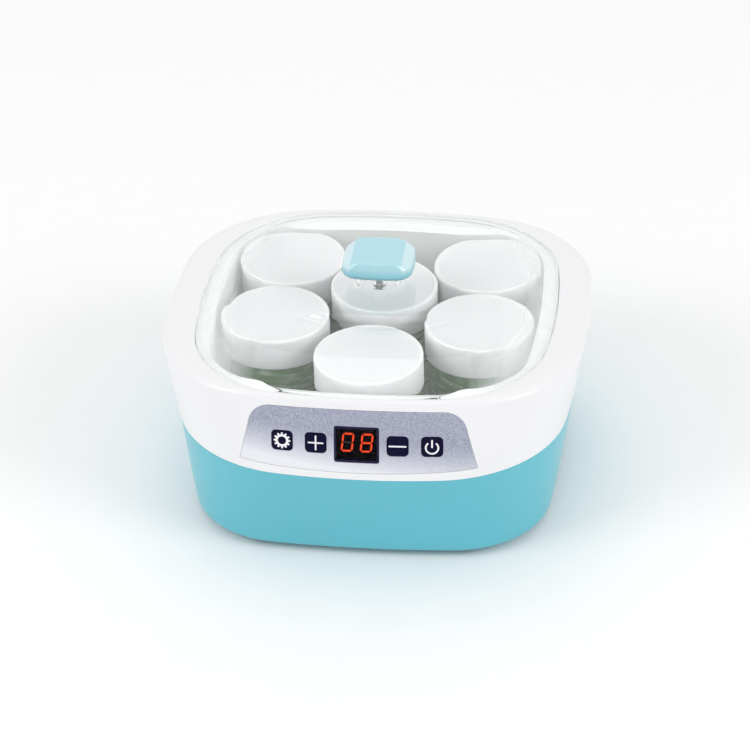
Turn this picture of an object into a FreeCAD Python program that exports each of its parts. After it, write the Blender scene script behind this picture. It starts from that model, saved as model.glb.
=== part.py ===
import FreeCAD, Part
import math
import os

import Sketcher

# Yogurt maker with six glass jars under a clear lid, in millimetres.
# The front faces -Y, +Z is up, and the rubber feet stand on Z = 0.
# A blue base and a white collar are screwed together round an inner well.

Vector = FreeCAD.Vector
Rotation = FreeCAD.Rotation
Placement = FreeCAD.Placement

doc = FreeCAD.newDocument("yogurt_maker")
sheet = doc.addObject("Spreadsheet::Sheet", "Sizes")

# Driving dimensions: alias, value, meaning

SIZES = (
    ("shell_wall", 2.4, "wall of the base and the collar"),
    ("floor_thickness", 2.5, "floor of the base"),
    ("seat_gap", 0.2, "gap between a piece and the flat seat it rests on"),
    ("slide_gap", 0.35, "gap all round a piece that slides or drops in"),
    ("screw_gap", 0.1, "gap between a screw and its hole"),
    ("foot_height", 4.0, "rubber foot below the base"),
    ("foot_radius", 9.0, "rubber foot"),
    ("foot_x", 70.0, "foot centre from the middle, sideways"),
    ("foot_y", 70.0, "foot centre from the middle, front to back"),
    ("foot_stem_radius", 3.0, "foot stem through the floor"),
    ("foot_head_radius", 4.2, "foot head above the floor"),
    ("foot_head_height", 2.0, "foot head above the floor"),
    ("heel_height", 4.0, "rounded bottom edge of the base"),
    ("heel_inset", 4.0, "rounded bottom edge of the base"),
    ("base_half_x", 110.5, "base contour just above the heel"),
    ("base_half_y", 109.5, "base contour just above the heel"),
    ("base_bow", 660.0, "bow radius of the base's sides"),
    ("base_corner", 58.0, "corner radius of the base"),
    ("parting_z", 62.0, "line between base and collar"),
    ("parting_half_x", 119.5, "contour at the parting line"),
    ("parting_half_y", 119.5, "contour at the parting line"),
    ("parting_bow", 385.0, "bow radius at the parting line"),
    ("parting_corner", 79.0, "corner radius at the parting line"),
    ("lip_height", 4.5, "lip of the collar inside the base"),
    ("lip_thickness", 1.8, "lip of the collar inside the base"),
    ("shoulder_half_x", 127.5, "contour at the shoulder, the collar's widest level"),
    ("shoulder_half_y", 110.9, "contour at the shoulder"),
    ("shoulder_bow", 500.0, "bow radius at the shoulder"),
    ("shoulder_corner", 72.0, "corner radius at the shoulder"),
    ("cap_below_top", 4.1, "jar caps below the collar's top"),
    ("brow_height", 3.8, "rounded top edge of the collar"),
    ("brow_inset_x", 7.5, "rounded top edge at the sides"),
    ("brow_inset_y", 1.8, "rounded top edge at front and rear"),
    ("recess_half_x", 107.8, "lid recess in the collar"),
    ("recess_half_y", 106.8, "lid recess in the collar"),
    ("recess_bow", 400.0, "bow radius of the lid recess"),
    ("recess_corner", 67.5, "corner radius of the lid recess"),
    ("recess_depth", 4.4, "lid recess below the collar's top"),
    ("recess_shelf", 1.6, "plate of the collar under the lid recess"),
    ("well_half_x", 97.0, "inside of the well at its mouth"),
    ("well_half_y", 91.0, "inside of the well at its mouth"),
    ("well_bow", 600.0, "bow radius of the well's sides"),
    ("well_corner", 36.0, "inside corner radius of the well"),
    ("well_wall", 2.0, "wall and floor of the well"),
    ("well_taper", 1.5, "how much narrower the well is at its floor"),
    ("well_floor_z", 27.0, "top of the well's floor"),
    ("well_rim", 1.6, "thickness of the well's rim"),
    ("scoop_half_x", 53.0, "sloped front edge of the well's mouth, half its width with its cheeks"),
    ("scoop_reach", 10.0, "sloped front edge in front of the well's wall"),
    ("scoop_drop", 6.4, "sloped front edge, from the rim's top down to the well's wall"),
    ("lid_wall", 2.2, "wall of the lid"),
    ("lid_flange_width", 3.4, "flat flange of the lid"),
    ("lid_flange_thickness", 3.0, "flat flange of the lid"),
    ("lid_mouth_inset", 1.0, "inside of the lid from the flange's inner edge"),
    ("lid_rise", 8.4, "lid plateau above the flange"),
    ("plateau_half_x", 91.0, "lid plateau"),
    ("plateau_half_y", 77.0, "lid plateau"),
    ("plateau_bow", 300.0, "bow radius of the plateau's edge"),
    ("plateau_corner", 54.0, "corner radius of the plateau"),
    ("raised_half_x", 44.0, "raised panel of the lid"),
    ("raised_half_y", 31.0, "raised panel of the lid"),
    ("raised_bow", 250.0, "bow radius of the raised panel"),
    ("raised_corner", 22.0, "corner radius of the raised panel"),
    ("raised_y", -8.0, "centre of the raised panel's flat top behind the lid's middle"),
    ("raised_height", 4.2, "raised panel above the plateau"),
    ("raised_side_ramp", 22.0, "ramps of the raised panel at its sides"),
    ("raised_rear_ramp", 42.0, "ramp of the raised panel at its rear"),
    ("raised_step", 2.0, "slope of the raised panel's front edge"),
    ("pedestal_half_x", 13.2, "pedestal under the knob"),
    ("pedestal_half_y", 9.5, "pedestal under the knob"),
    ("pedestal_corner", 3.0, "corner radius of the pedestal"),
    ("pedestal_flare", 2.4, "flared foot of the pedestal"),
    ("pedestal_height", 8.4, "pedestal under the knob"),
    ("pedestal_boss", 4.4, "boss round the knob's screw inside the pedestal"),
    ("knob_y", 4.5, "middle of the pedestal and the knob behind the lid's middle"),
    ("knob_half_x", 22.0, "knob at its widest"),
    ("knob_half_y", 18.5, "knob at its widest"),
    ("knob_bow", 110.0, "bow radius of the knob's sides"),
    ("knob_corner", 9.0, "corner radius of the knob"),
    ("knob_height", 12.0, "knob from bottom to top"),
    ("knob_belt", 2.6, "knob's widest level above its bottom"),
    ("knob_under_inset", 2.6, "knob's bottom inside its widest level"),
    ("knob_shoulder", 7.4, "level above the knob's bottom where its side chamfers begin"),
    ("knob_draft", 0.7, "knob's shoulder inside its widest level"),
    ("knob_chamfer", 6.6, "knob's top facet inside its widest level at the sides"),
    ("knob_front_round", 2.0, "knob's top facet inside its widest level at front and rear"),
    ("knob_crown", 0.5, "height of the knob's crown over its top facet's edge"),
    ("knob_crown_inset", 6.0, "knob's flat crown inside its top facet"),
    ("knob_screw_radius", 1.75, "screw that holds the knob"),
    ("knob_screw_head_radius", 4.0, "head of the knob's screw"),
    ("knob_screw_head_height", 2.4, "head of the knob's screw"),
    ("knob_screw_bite", 6.5, "length of the screw in the knob"),
    ("jar_radius", 31.2, "glass jar"),
    ("jar_wall", 2.6, "wall of the jar"),
    ("jar_base", 3.5, "bottom of the jar"),
    ("jar_heel", 3.0, "chamfer at the jar's foot"),
    ("jar_body_height", 56.5, "straight body of the jar"),
    ("jar_shoulder_height", 60.0, "top of the jar's shoulder"),
    ("jar_height", 77.5, "jar from foot to rim"),
    ("neck_radius", 29.6, "neck of the jar"),
    ("thread_height", 2.0, "thread bead of the neck"),
    ("thread_proud", 0.7, "thread bead of the neck"),
    ("thread_below_rim", 7.0, "thread bead below the jar's rim"),
    ("cap_radius", 32.6, "jar cap"),
    ("cap_wall", 1.8, "skirt of the cap"),
    ("cap_top", 2.0, "top of the cap"),
    ("cap_height", 19.0, "cap from skirt to top"),
    ("cap_bevel", 0.8, "bevel round the cap's top edge"),
    ("side_front_jar_x", 61.6, "front jars of the side columns"),
    ("side_rear_jar_x", 60.4, "rear jars of the side columns"),
    ("side_front_jar_y", -12.8, "front jars of the side columns"),
    ("side_rear_jar_y", 53.6, "rear jars of the side columns"),
    ("front_jar_y", -53.5, "front jar of the middle column"),
    ("middle_jar_y", 26.0, "rear jar of the middle column"),
    ("overlay_thickness", 0.8, "overlay film"),
    ("overlay_bottom_half", 70.0, "overlay's bottom edge"),
    ("overlay_sag", 3.4, "bow of the overlay's bottom edge"),
    ("overlay_corner_x", 51.0, "centres of the overlay's top corners"),
    ("overlay_corner", 13.0, "overlay's top corners"),
    ("overlay_top_gap", 2.0, "overlay below the shoulder, up the face"),
    ("overlay_bottom_gap", 7.85, "overlay's bottom corners above the parting line, up the face"),
    ("panel_share", 0.4856, "panel's middle between parting line and shoulder, as a share"),
    ("window_width", 26.2, "display lens"),
    ("window_height", 22.5, "display lens"),
    ("window_corner", 1.2, "display lens"),
    ("window_thickness", 2.0, "display lens"),
    ("key_size", 12.2, "key face"),
    ("key_corner", 2.4, "key face"),
    ("key_proud", 0.3, "key face above the overlay"),
    ("key_flange", 1.2, "key flange wider than its hole, inside"),
    ("key_flange_thickness", 1.0, "key flange inside the collar"),
    ("key_travel", 0.5, "key press"),
    ("key_stem_radius", 2.0, "stem between key and switch"),
    ("key_spacing", 4.8, "display lens to the next key"),
    ("key_end_gap", 26.0, "outer keys from the overlay's bottom corners"),
    ("board_depth", 12.0, "front of the control board behind the panel's face"),
    ("board_thickness", 1.6, "circuit boards"),
    ("board_margin", 10.0, "control board beyond the middle of the outer keys"),
    ("board_inside", 3.0, "control board inside the overlay's top and bottom edges"),
    ("board_screw_inset", 4.0, "screws of the control board from its edges"),
    ("boss_radius", 3.2, "bosses for small screws"),
    ("small_screw_radius", 1.4, "small screws"),
    ("small_head_radius", 2.6, "heads of small screws"),
    ("small_head_height", 1.8, "heads of small screws"),
    ("small_screw_bite", 4.0, "length of small screws in a boss"),
    ("switch_size", 6.2, "body of a tact switch"),
    ("switch_height", 3.4, "body of a tact switch"),
    ("switch_button_radius", 1.7, "button of a tact switch"),
    ("switch_button_height", 1.0, "button of a tact switch"),
    ("module_width", 24.0, "display module"),
    ("module_height", 19.0, "display module"),
    ("buzzer_radius", 5.5, "buzzer"),
    ("buzzer_height", 7.0, "buzzer"),
    ("buzzer_x", 20.0, "buzzer beside the power board's middle"),
    ("buzzer_behind", 8.0, "buzzer behind the power board's middle"),
    ("post_gap", 1.0, "screw posts beside the well"),
    ("post_board_gap", 2.0, "screw posts beside the control board"),
    ("post_radius", 4.0, "posts of the collar"),
    ("column_radius", 5.0, "columns of the base"),
    ("post_joint_z", 58.0, "level where post and column meet"),
    ("column_shelf", 5.0, "shelf under a shell screw's head seat"),
    ("shell_screw_radius", 1.5, "screws between base and collar"),
    ("shell_head_radius", 3.2, "heads of the shell screws"),
    ("shell_head_height", 2.2, "heads of the shell screws"),
    ("shell_screw_bite", 8.0, "length of the shell screws in the posts"),
    ("inlet_z", 24.0, "middle of the mains inlet"),
    ("inlet_width", 22.0, "body of the mains inlet"),
    ("inlet_height", 13.0, "body of the mains inlet"),
    ("inlet_depth", 15.6, "body of the mains inlet"),
    ("inlet_border", 3.0, "boss of the base round the inlet"),
    ("inlet_proud", 2.1, "rear face of the inlet and its boss behind the flank"),
    ("inlet_behind", 0.35, "boss of the base behind the flank's inside"),
    ("inlet_flange", 2.0, "flange of the inlet inside the boss"),
    ("socket_radius", 3.9, "lobes of the inlet's socket"),
    ("socket_depth", 10.0, "inlet's socket"),
    ("pin_spacing", 8.6, "two pins of the inlet"),
    ("pin_radius", 1.2, "two pins of the inlet"),
    ("pin_below_face", 1.2, "pin tips inside the socket"),
    ("pin_tail", 3.0, "pin tails behind the inlet"),
    ("plate_thickness", 1.5, "heating plate under the well"),
    ("plate_inset", 14.0, "heating plate inside the well's floor"),
    ("heater_length", 50.0, "heater block"),
    ("heater_width", 24.0, "heater block"),
    ("heater_height", 5.0, "heater block"),
    ("clamp_thickness", 1.2, "heater clamp"),
    ("clamp_width", 16.0, "heater clamp"),
    ("clamp_tab", 10.0, "tabs of the heater clamp"),
    ("sensor_radius", 2.5, "temperature sensor"),
    ("sensor_length", 12.0, "temperature sensor"),
    ("sensor_y", -24.0, "temperature sensor"),
    ("fuse_radius", 2.0, "thermal fuse"),
    ("fuse_length", 11.0, "thermal fuse"),
    ("fuse_y", 24.0, "thermal fuse"),
    ("power_board_x", -42.0, "middle of the power board"),
    ("power_board_ahead", 50.6, "middle of the power board in front of the inlet's face"),
    ("power_board_width", 62.0, "power board"),
    ("power_board_length", 46.0, "power board"),
    ("power_board_rise", 4.5, "power board above the floor"),
    ("power_screw_inset", 4.5, "screws of the power board from its edges"),
    ("part_height", 8.0, "tall parts on the power board"),
    ("relay_length", 18.0, "relay"),
    ("relay_x", 16.0, "relay beside the power board's middle"),
    ("relay_front", 1.0, "relay in front of the power board's middle"),
    ("relay_width", 10.0, "relay"),
    ("transformer_size", 13.0, "transformer"),
    ("capacitor_radius", 3.8, "filter capacitor"),
    ("capacitor_length", 14.0, "filter capacitor"),
    ("terminal_length", 14.0, "terminal block"),
    ("terminal_width", 8.0, "terminal block"),
    ("ribbon_width", 10.0, "ribbon cable"),
    ("ribbon_thickness", 0.9, "ribbon cable"),
    ("ribbon_x", -40.0, "middle of the ribbon cable"),
    ("ribbon_front_y", -99.0, "ribbon cable in front of the well"),
    ("lead_radius", 1.0, "insulated leads"),
    ("lead_bend", 4.0, "bends of the leads"),
)

for row, (alias, value, meaning) in enumerate(SIZES, 1):
    sheet.set(f"A{row}", meaning)
    sheet.set(f"B{row}", str(value))
    sheet.setAlias(f"B{row}", alias)
doc.recompute()


class Dim:
    """A length together with the sheet expression that it comes from."""

    def __init__(self, value, text):
        self.value = value
        self.text = text

    def __add__(self, other):
        return Dim(self.value + value_of(other), f"({self.text} + {text_of(other)})")

    def __sub__(self, other):
        return Dim(self.value - value_of(other), f"({self.text} - {text_of(other)})")

    def __mul__(self, other):
        return Dim(self.value * value_of(other), f"({self.text} * {text_of(other)})")

    def __truediv__(self, other):
        return Dim(self.value / value_of(other), f"({self.text} / {text_of(other)})")

    def __neg__(self):
        return Dim(-self.value, f"(0 - {self.text})")


class Sheet:
    """Reads a size of the sheet by its alias."""

    def __getattr__(self, alias):
        return Dim(float(sheet.get(alias)), f"Sizes.{alias}")


S = Sheet()
ZERO = Dim(0.0, "0")


def value_of(size):
    """The number in millimetres of a Dim or a plain number."""
    return size.value if isinstance(size, Dim) else float(size)


def text_of(size):
    """The expression of a Dim or a plain number."""
    return size.text if isinstance(size, Dim) else repr(float(size))


def half_of(size):
    """Half a size, as a Dim."""
    return (ZERO + size) / 2


def bind(obj, path, size):
    """Tie one property of an object to the sheet."""
    obj.setExpression(path, text_of(size))


def place(obj, x=0.0, y=0.0, z=0.0):
    """Tie an object's position to the sheet."""
    bind(obj, "Placement.Base.x", x)
    bind(obj, "Placement.Base.y", y)
    bind(obj, "Placement.Base.z", z)
    return obj


# Primitives and booleans

AXIS_TURN = {
    "X": Rotation(Vector(0, 1, 0), 90),
    "Y": Rotation(Vector(1, 0, 0), -90),
    "Z": Rotation(),
}


def cylinder(name, radius, height, x=0.0, y=0.0, z=0.0, axis="Z"):
    """A cylinder that starts at a point and runs along one axis."""
    obj = doc.addObject("Part::Cylinder", name)
    obj.Placement = Placement(Vector(), AXIS_TURN[axis])
    bind(obj, "Radius", radius)
    bind(obj, "Height", height)
    return place(obj, x, y, z)


def box(name, size_x, size_y, size_z, x=0.0, y=0.0, z=0.0):
    """A block centred on x and y that stands on z."""
    obj = doc.addObject("Part::Box", name)
    bind(obj, "Length", size_x)
    bind(obj, "Width", size_y)
    bind(obj, "Height", size_z)
    return place(obj, ZERO + x - half_of(size_x), ZERO + y - half_of(size_y), z)


def fuse(name, *shapes):
    """Several objects joined into one solid."""
    obj = doc.addObject("Part::MultiFuse", name)
    obj.Shapes = list(shapes)
    return obj


def cut(name, base, *tools):
    """An object with others taken away from it."""
    obj = doc.addObject("Part::Cut", name)
    obj.Base = base
    obj.Tool = tools[0] if len(tools) == 1 else fuse(f"{name}_tools", *tools)
    return obj


def common(name, first, second):
    """What two objects share."""
    obj = doc.addObject("Part::Common", name)
    obj.Base = first
    obj.Tool = second
    return obj


def group(name, *shapes):
    """Separate solids kept under one name."""
    obj = doc.addObject("Part::Compound", name)
    obj.Links = list(shapes)
    return obj


# Sketches

def datum(sketch, kind, *args):
    """Add a dimension whose last argument is a size of the sheet."""
    size = args[-1]
    index = sketch.addConstraint(Sketcher.Constraint(kind, *args[:-1], value_of(size)))
    bind(sketch, f"Constraints[{index}]", size)


def fix_point(sketch, element, end, x, y):
    """Tie a sketch point to the sketch's origin."""
    for kind, axis, size in (("DistanceX", -2, x), ("DistanceY", -1, y)):
        if abs(value_of(size)) < 1e-9:
            sketch.addConstraint(Sketcher.Constraint("PointOnObject", element, end, axis))
        elif value_of(size) > 0:
            datum(sketch, kind, -1, 1, element, end, size)
        else:
            datum(sketch, kind, element, end, -1, 1, ZERO - size)


def draw_circle(sketch, radius, x=0.0, y=0.0):
    """A circle about a point."""
    centre = Vector(value_of(x), value_of(y), 0)
    element = sketch.addGeometry(Part.Circle(centre, Vector(0, 0, 1), value_of(radius)))
    datum(sketch, "Radius", element, radius)
    fix_point(sketch, element, 3, x, y)


def draw_polygon(sketch, points):
    """A closed outline of straight lines through tied points."""
    corners = [Vector(value_of(x), value_of(y), 0) for x, y in points]
    count = len(corners)
    first = sketch.GeometryCount
    for i in range(count):
        sketch.addGeometry(Part.LineSegment(corners[i], corners[(i + 1) % count]))
    for i in range(count):
        following = first + (i + 1) % count
        sketch.addConstraint(Sketcher.Constraint("Coincident", first + i, 2, following, 1))
    for i, (x, y) in enumerate(points):
        fix_point(sketch, first + i, 1, x, y)


def arc(centre, radius, start, end):
    """A counter-clockwise arc between two angles in radians."""
    return Part.ArcOfCircle(Part.Circle(centre, Vector(0, 0, 1), radius), start, end)


def join_round(sketch, count):
    """Make consecutive sketch elements meet tangentially, end to start."""
    for i in range(count):
        sketch.addConstraint(Sketcher.Constraint("Tangent", i, 2, (i + 1) % count, 1))


def draw_bowed_square(sketch, half_x, half_y, bow, corner):
    """A rounded square of eight arcs: four bowed sides and four corners."""
    a, b = value_of(half_x), value_of(half_y)
    side, bend = value_of(bow), value_of(corner)
    right, back = Vector(a - side, 0, 0), Vector(0, b - side, 0)
    reach = side - bend
    span = (back - right).Length
    along = (back - right) / span
    across = Vector(along.y, -along.x, 0)
    lift = math.sqrt(reach * reach - span * span / 4)
    middle = (right + back) / 2
    centre = max(middle + across * lift, middle - across * lift, key=lambda p: p.x + p.y)
    low = math.atan2(centre.y, centre.x - right.x)
    high = math.atan2(centre.y - back.y, centre.x)
    half_turn = math.pi
    mirrored_x = Vector(-centre.x, centre.y, 0)
    mirrored_y = Vector(centre.x, -centre.y, 0)
    for element in (
        arc(right, side, -low, low),
        arc(centre, bend, low, high),
        arc(back, side, high, half_turn - high),
        arc(mirrored_x, bend, half_turn - high, half_turn - low),
        arc(-right, side, half_turn - low, half_turn + low),
        arc(-centre, bend, half_turn + low, half_turn + high),
        arc(-back, side, half_turn + high, 2 * half_turn - high),
        arc(mirrored_y, bend, 2 * half_turn - high, 2 * half_turn - low),
    ):
        sketch.addGeometry(element)
    join_round(sketch, 8)
    inward_x = ZERO + bow - half_x
    inward_y = ZERO + bow - half_y
    for element, x, y in ((0, -inward_x, 0.0), (2, 0.0, -inward_y), (4, inward_x, 0.0), (6, 0.0, inward_y)):
        datum(sketch, "Radius", element, bow)
        fix_point(sketch, element, 3, x, y)
    for element in (1, 3, 5, 7):
        datum(sketch, "Radius", element, corner)


def draw_rounded_rectangle(sketch, width, height, corner):
    """A rectangle with round corners about the sketch's origin."""
    a, b, bend = value_of(width) / 2, value_of(height) / 2, value_of(corner)
    quarter = math.pi / 2
    sketch.addGeometry(Part.LineSegment(Vector(bend - a, -b, 0), Vector(a - bend, -b, 0)))
    sketch.addGeometry(arc(Vector(a - bend, bend - b, 0), bend, -quarter, 0))
    sketch.addGeometry(Part.LineSegment(Vector(a, bend - b, 0), Vector(a, b - bend, 0)))
    sketch.addGeometry(arc(Vector(a - bend, b - bend, 0), bend, 0, quarter))
    sketch.addGeometry(Part.LineSegment(Vector(a - bend, b, 0), Vector(bend - a, b, 0)))
    sketch.addGeometry(arc(Vector(bend - a, b - bend, 0), bend, quarter, 2 * quarter))
    sketch.addGeometry(Part.LineSegment(Vector(-a, b - bend, 0), Vector(-a, bend - b, 0)))
    sketch.addGeometry(arc(Vector(bend - a, bend - b, 0), bend, 2 * quarter, 3 * quarter))
    join_round(sketch, 8)
    sketch.addConstraint(Sketcher.Constraint("Horizontal", 0))
    sketch.addConstraint(Sketcher.Constraint("Vertical", 2))
    centre_x = half_of(width) - corner
    centre_y = half_of(height) - corner
    for element, x, y in ((1, centre_x, -centre_y), (5, -centre_x, centre_y)):
        fix_point(sketch, element, 3, x, y)
    for element in (1, 3, 5, 7):
        datum(sketch, "Radius", element, corner)


def draw_overlay(sketch, grow):
    """The overlay's outline: two round top corners, sloped sides and a bowed bottom, grown all round."""
    foot, bottom = S.overlay_bottom_half + grow, -(overlay_down + grow)
    sag = S.overlay_sag
    corner_x, bend = S.overlay_corner_x, S.overlay_corner + grow
    centre_y = overlay_up - S.overlay_corner
    base = Vector(foot.value, bottom.value, 0)
    centre = Vector(corner_x.value, centre_y.value, 0)
    away = base - centre
    lean = math.atan2(away.y, away.x) + math.acos(bend.value / away.Length)
    touch = centre + Vector(math.cos(lean), math.sin(lean), 0) * bend.value
    top = Vector(0, bend.value, 0)
    left = Vector(-centre.x, centre.y, 0)
    left_touch = Vector(-touch.x, touch.y, 0)
    left_base = Vector(-base.x, base.y, 0)
    sweep = (foot * foot + sag * sag) / sag / 2
    middle = bottom - sag + sweep
    spread = math.asin(foot.value / sweep.value)
    down = -math.pi / 2
    sketch.addGeometry(arc(Vector(0, middle.value, 0), sweep.value, down - spread, down + spread))
    sketch.addGeometry(Part.LineSegment(base, touch))
    sketch.addGeometry(arc(centre, bend.value, lean, math.pi / 2))
    sketch.addGeometry(Part.LineSegment(centre + top, left + top))
    sketch.addGeometry(arc(left, bend.value, math.pi / 2, math.pi - lean))
    sketch.addGeometry(Part.LineSegment(left_touch, left_base))
    sketch.addConstraint(Sketcher.Constraint("Coincident", 0, 2, 1, 1))
    sketch.addConstraint(Sketcher.Constraint("Coincident", 5, 2, 0, 1))
    for element in (1, 2, 3, 4):
        sketch.addConstraint(Sketcher.Constraint("Tangent", element, 2, element + 1, 1))
    fix_point(sketch, 0, 1, -foot, bottom)
    fix_point(sketch, 0, 2, foot, bottom)
    fix_point(sketch, 2, 3, corner_x, centre_y)
    fix_point(sketch, 4, 3, -corner_x, centre_y)
    datum(sketch, "Radius", 0, sweep)
    datum(sketch, "Radius", 2, bend)
    datum(sketch, "Radius", 4, bend)


def contour(name, prefix, z, inset=0.0, inset_y=None):
    """One level of a moulded form: a bowed square of the sheet, inset all round."""
    sketch = doc.addObject("Sketcher::SketchObject", name)
    inset_y = inset if inset_y is None else inset_y
    draw_bowed_square(
        sketch,
        getattr(S, f"{prefix}_half_x") - inset,
        getattr(S, f"{prefix}_half_y") - inset_y,
        getattr(S, f"{prefix}_bow") - inset,
        getattr(S, f"{prefix}_corner") - inset_y,
    )
    bind(sketch, "Placement.Base.z", z)
    return sketch


def loft(name, sections):
    """A solid through several levels."""
    obj = doc.addObject("Part::Loft", name)
    obj.Sections = sections
    obj.Solid = True
    obj.Ruled = True
    return obj


def prism(name, sketch, forward, backward=0.0):
    """A solid pushed out of a flat outline, along its normal."""
    obj = doc.addObject("Part::Extrusion", name)
    obj.Base = sketch
    obj.DirMode = "Normal"
    obj.Solid = True
    bind(obj, "LengthFwd", forward)
    bind(obj, "LengthRev", backward)
    return obj


# Bodies made of sketched features

def body_sketch(body, name, role, offset=0.0):
    """A sketch on one of a body's own planes."""
    sketch = body.newObject("Sketcher::SketchObject", name)
    plane = next(feature for feature in body.Origin.OriginFeatures if feature.Role == role)
    sketch.AttachmentSupport = [(plane, "")]
    sketch.MapMode = "FlatFace"
    bind(sketch, "AttachmentOffset.Base.z", offset)
    return sketch


def body_contour(body, name, half_x, half_y, bow, corner, z):
    """One level of a body's loft."""
    sketch = body_sketch(body, name, "XY_Plane", z)
    draw_bowed_square(sketch, half_x, half_y, bow, corner)
    return sketch


def add_loft(body, kind, name, sections):
    """A loft that adds to a body or takes away from it."""
    feature = body.newObject(f"PartDesign::{kind}Loft", name)
    feature.Profile = sections[0]
    feature.Sections = sections[1:]
    feature.Ruled = True
    return feature


def add_pad(body, name, sketch, length, middle=False):
    """A pad along the sketch's normal."""
    feature = body.newObject("PartDesign::Pad", name)
    feature.Profile = sketch
    feature.Midplane = middle
    bind(feature, "Length", length)
    return feature


def add_holes(body, name, radius, points, z, depth):
    """Round holes downwards from one level."""
    sketch = body_sketch(body, f"{name}_sketch", "XY_Plane", z)
    for x, y in points:
        draw_circle(sketch, radius, x, y)
    feature = body.newObject("PartDesign::Pocket", name)
    feature.Profile = sketch
    bind(feature, "Length", depth)
    return feature


def turned_body(name, profile, x=0.0, y=0.0, z=0.0):
    """A body of revolution about the vertical axis through a point."""
    body = doc.addObject("PartDesign::Body", name)
    sketch = body_sketch(body, f"{name}_profile", "XZ_Plane")
    draw_polygon(sketch, profile)
    feature = body.newObject("PartDesign::Revolution", f"{name}_turn")
    feature.Profile = sketch
    feature.ReferenceAxis = (sketch, ["V_Axis"])
    feature.Angle = 360
    return place(body, x, y, z)


def small_screw(name, x, y, z, length, radius, head_radius, head_height):
    """An upward screw whose head's seat is at z."""
    shank = cylinder(f"{name}_shank", radius, length + head_height, x, y, ZERO + z - head_height)
    head = cylinder(f"{name}_head", head_radius, head_height, x, y, ZERO + z - head_height)
    return fuse(name, shank, head)


NODES = {}


def keep(node, obj):
    """Register a finished piece under its name."""
    obj.Label = node
    NODES[node] = obj
    return obj


CORNERS = (("front_left", -1, -1), ("front_right", 1, -1), ("rear_left", -1, 1), ("rear_right", 1, 1))

# Levels that follow from the driving dimensions

floor_top = S.foot_height + S.floor_thickness
heel_top = S.foot_height + S.heel_height
jar_bottom = S.well_floor_z + S.seat_gap
cap_level = jar_bottom + S.jar_height + S.seat_gap + S.cap_top
collar_top = cap_level + S.cap_below_top
shoulder_z = collar_top - S.brow_height
recess_floor = collar_top - S.recess_depth
shelf_bottom = recess_floor - S.recess_shelf
panel_z = S.parting_z + (shoulder_z - S.parting_z) * S.panel_share
rim_top = recess_floor + S.well_rim
lid_bottom = rim_top + S.seat_gap
flange_top = lid_bottom + S.lid_flange_thickness
plateau_z = flange_top + S.lid_rise
raised_z = plateau_z + S.raised_height
pedestal_top = raised_z + S.pedestal_height
knob_bottom = pedestal_top + S.seat_gap
plate_top = S.well_floor_z - S.well_wall
plate_bottom = plate_top - S.plate_thickness
over = S.shell_wall
flank_share = (S.inlet_z - heel_top) / (S.parting_z - heel_top)
inlet_flank_y = S.base_half_y + (S.parting_half_y - S.base_half_y) * flank_share
inlet_face_y = inlet_flank_y + S.inlet_proud
flank_draft = (S.parting_half_y - S.base_half_y) / (S.parting_z - heel_top)
inlet_boss_lean = (S.inlet_height / 2 + S.inlet_border) * flank_draft
inlet_boss_depth = S.inlet_proud + S.shell_wall + inlet_boss_lean + S.inlet_behind
power_board_y = inlet_face_y - S.power_board_ahead
inner_key_x = (S.window_width + S.key_size) / 2 + S.key_spacing
outer_key_x = S.overlay_bottom_half - S.key_end_gap
board_half_x = outer_key_x + S.board_margin
post_x = board_half_x + S.post_board_gap + S.post_radius
post_y = S.well_half_y + S.well_wall + S.post_gap + S.post_radius

# Frame of the front panel, which leans back with the collar's front

panel_lean = math.atan2(
    (S.parting_half_y - S.shoulder_half_y).value,
    (shoulder_z - S.parting_z).value,
)
panel_front = S.parting_half_y.value - (panel_z - S.parting_z).value * math.tan(panel_lean)
PANEL = Placement(
    Vector(0, -panel_front, panel_z.value),
    Rotation(Vector(1, 0, 0), 90 - math.degrees(panel_lean)),
)
overlay_up = (shoulder_z - panel_z) / math.cos(panel_lean) - S.overlay_top_gap
overlay_down = (panel_z - S.parting_z) / math.cos(panel_lean) - S.overlay_bottom_gap
board_half_up = (overlay_up + overlay_down) / 2 - S.board_inside


# Base housing

def base_form(name, inset, low):
    """The tapered flank of the base, inset from its outside."""
    lower = contour(f"{name}_low", "base", low, inset)
    upper = contour(f"{name}_high", "parting", S.parting_z, inset)
    return loft(name, [lower, upper])


def heel_levels():
    """Levels of the rounded heel, a quarter ellipse from the bottom face up to the flank."""
    steps = 4
    levels = []
    for step in range(steps + 1):
        angle = math.pi / 2 * step / steps
        inset = S.heel_inset * (1 - math.sin(angle))
        rise = S.heel_height * (1 - math.cos(angle))
        levels.append(contour(f"heel_{step}", "base", S.foot_height + rise, inset))
    return levels


def inlet_boss():
    """Flat boss at the rear that the inlet sits in."""
    width = S.inlet_width + S.inlet_border * 2
    height = S.inlet_height + S.inlet_border * 2
    middle_y = inlet_face_y - inlet_boss_depth / 2
    return box("inlet_boss", width, inlet_boss_depth, height, 0.0, middle_y, S.inlet_z - height / 2)


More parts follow.
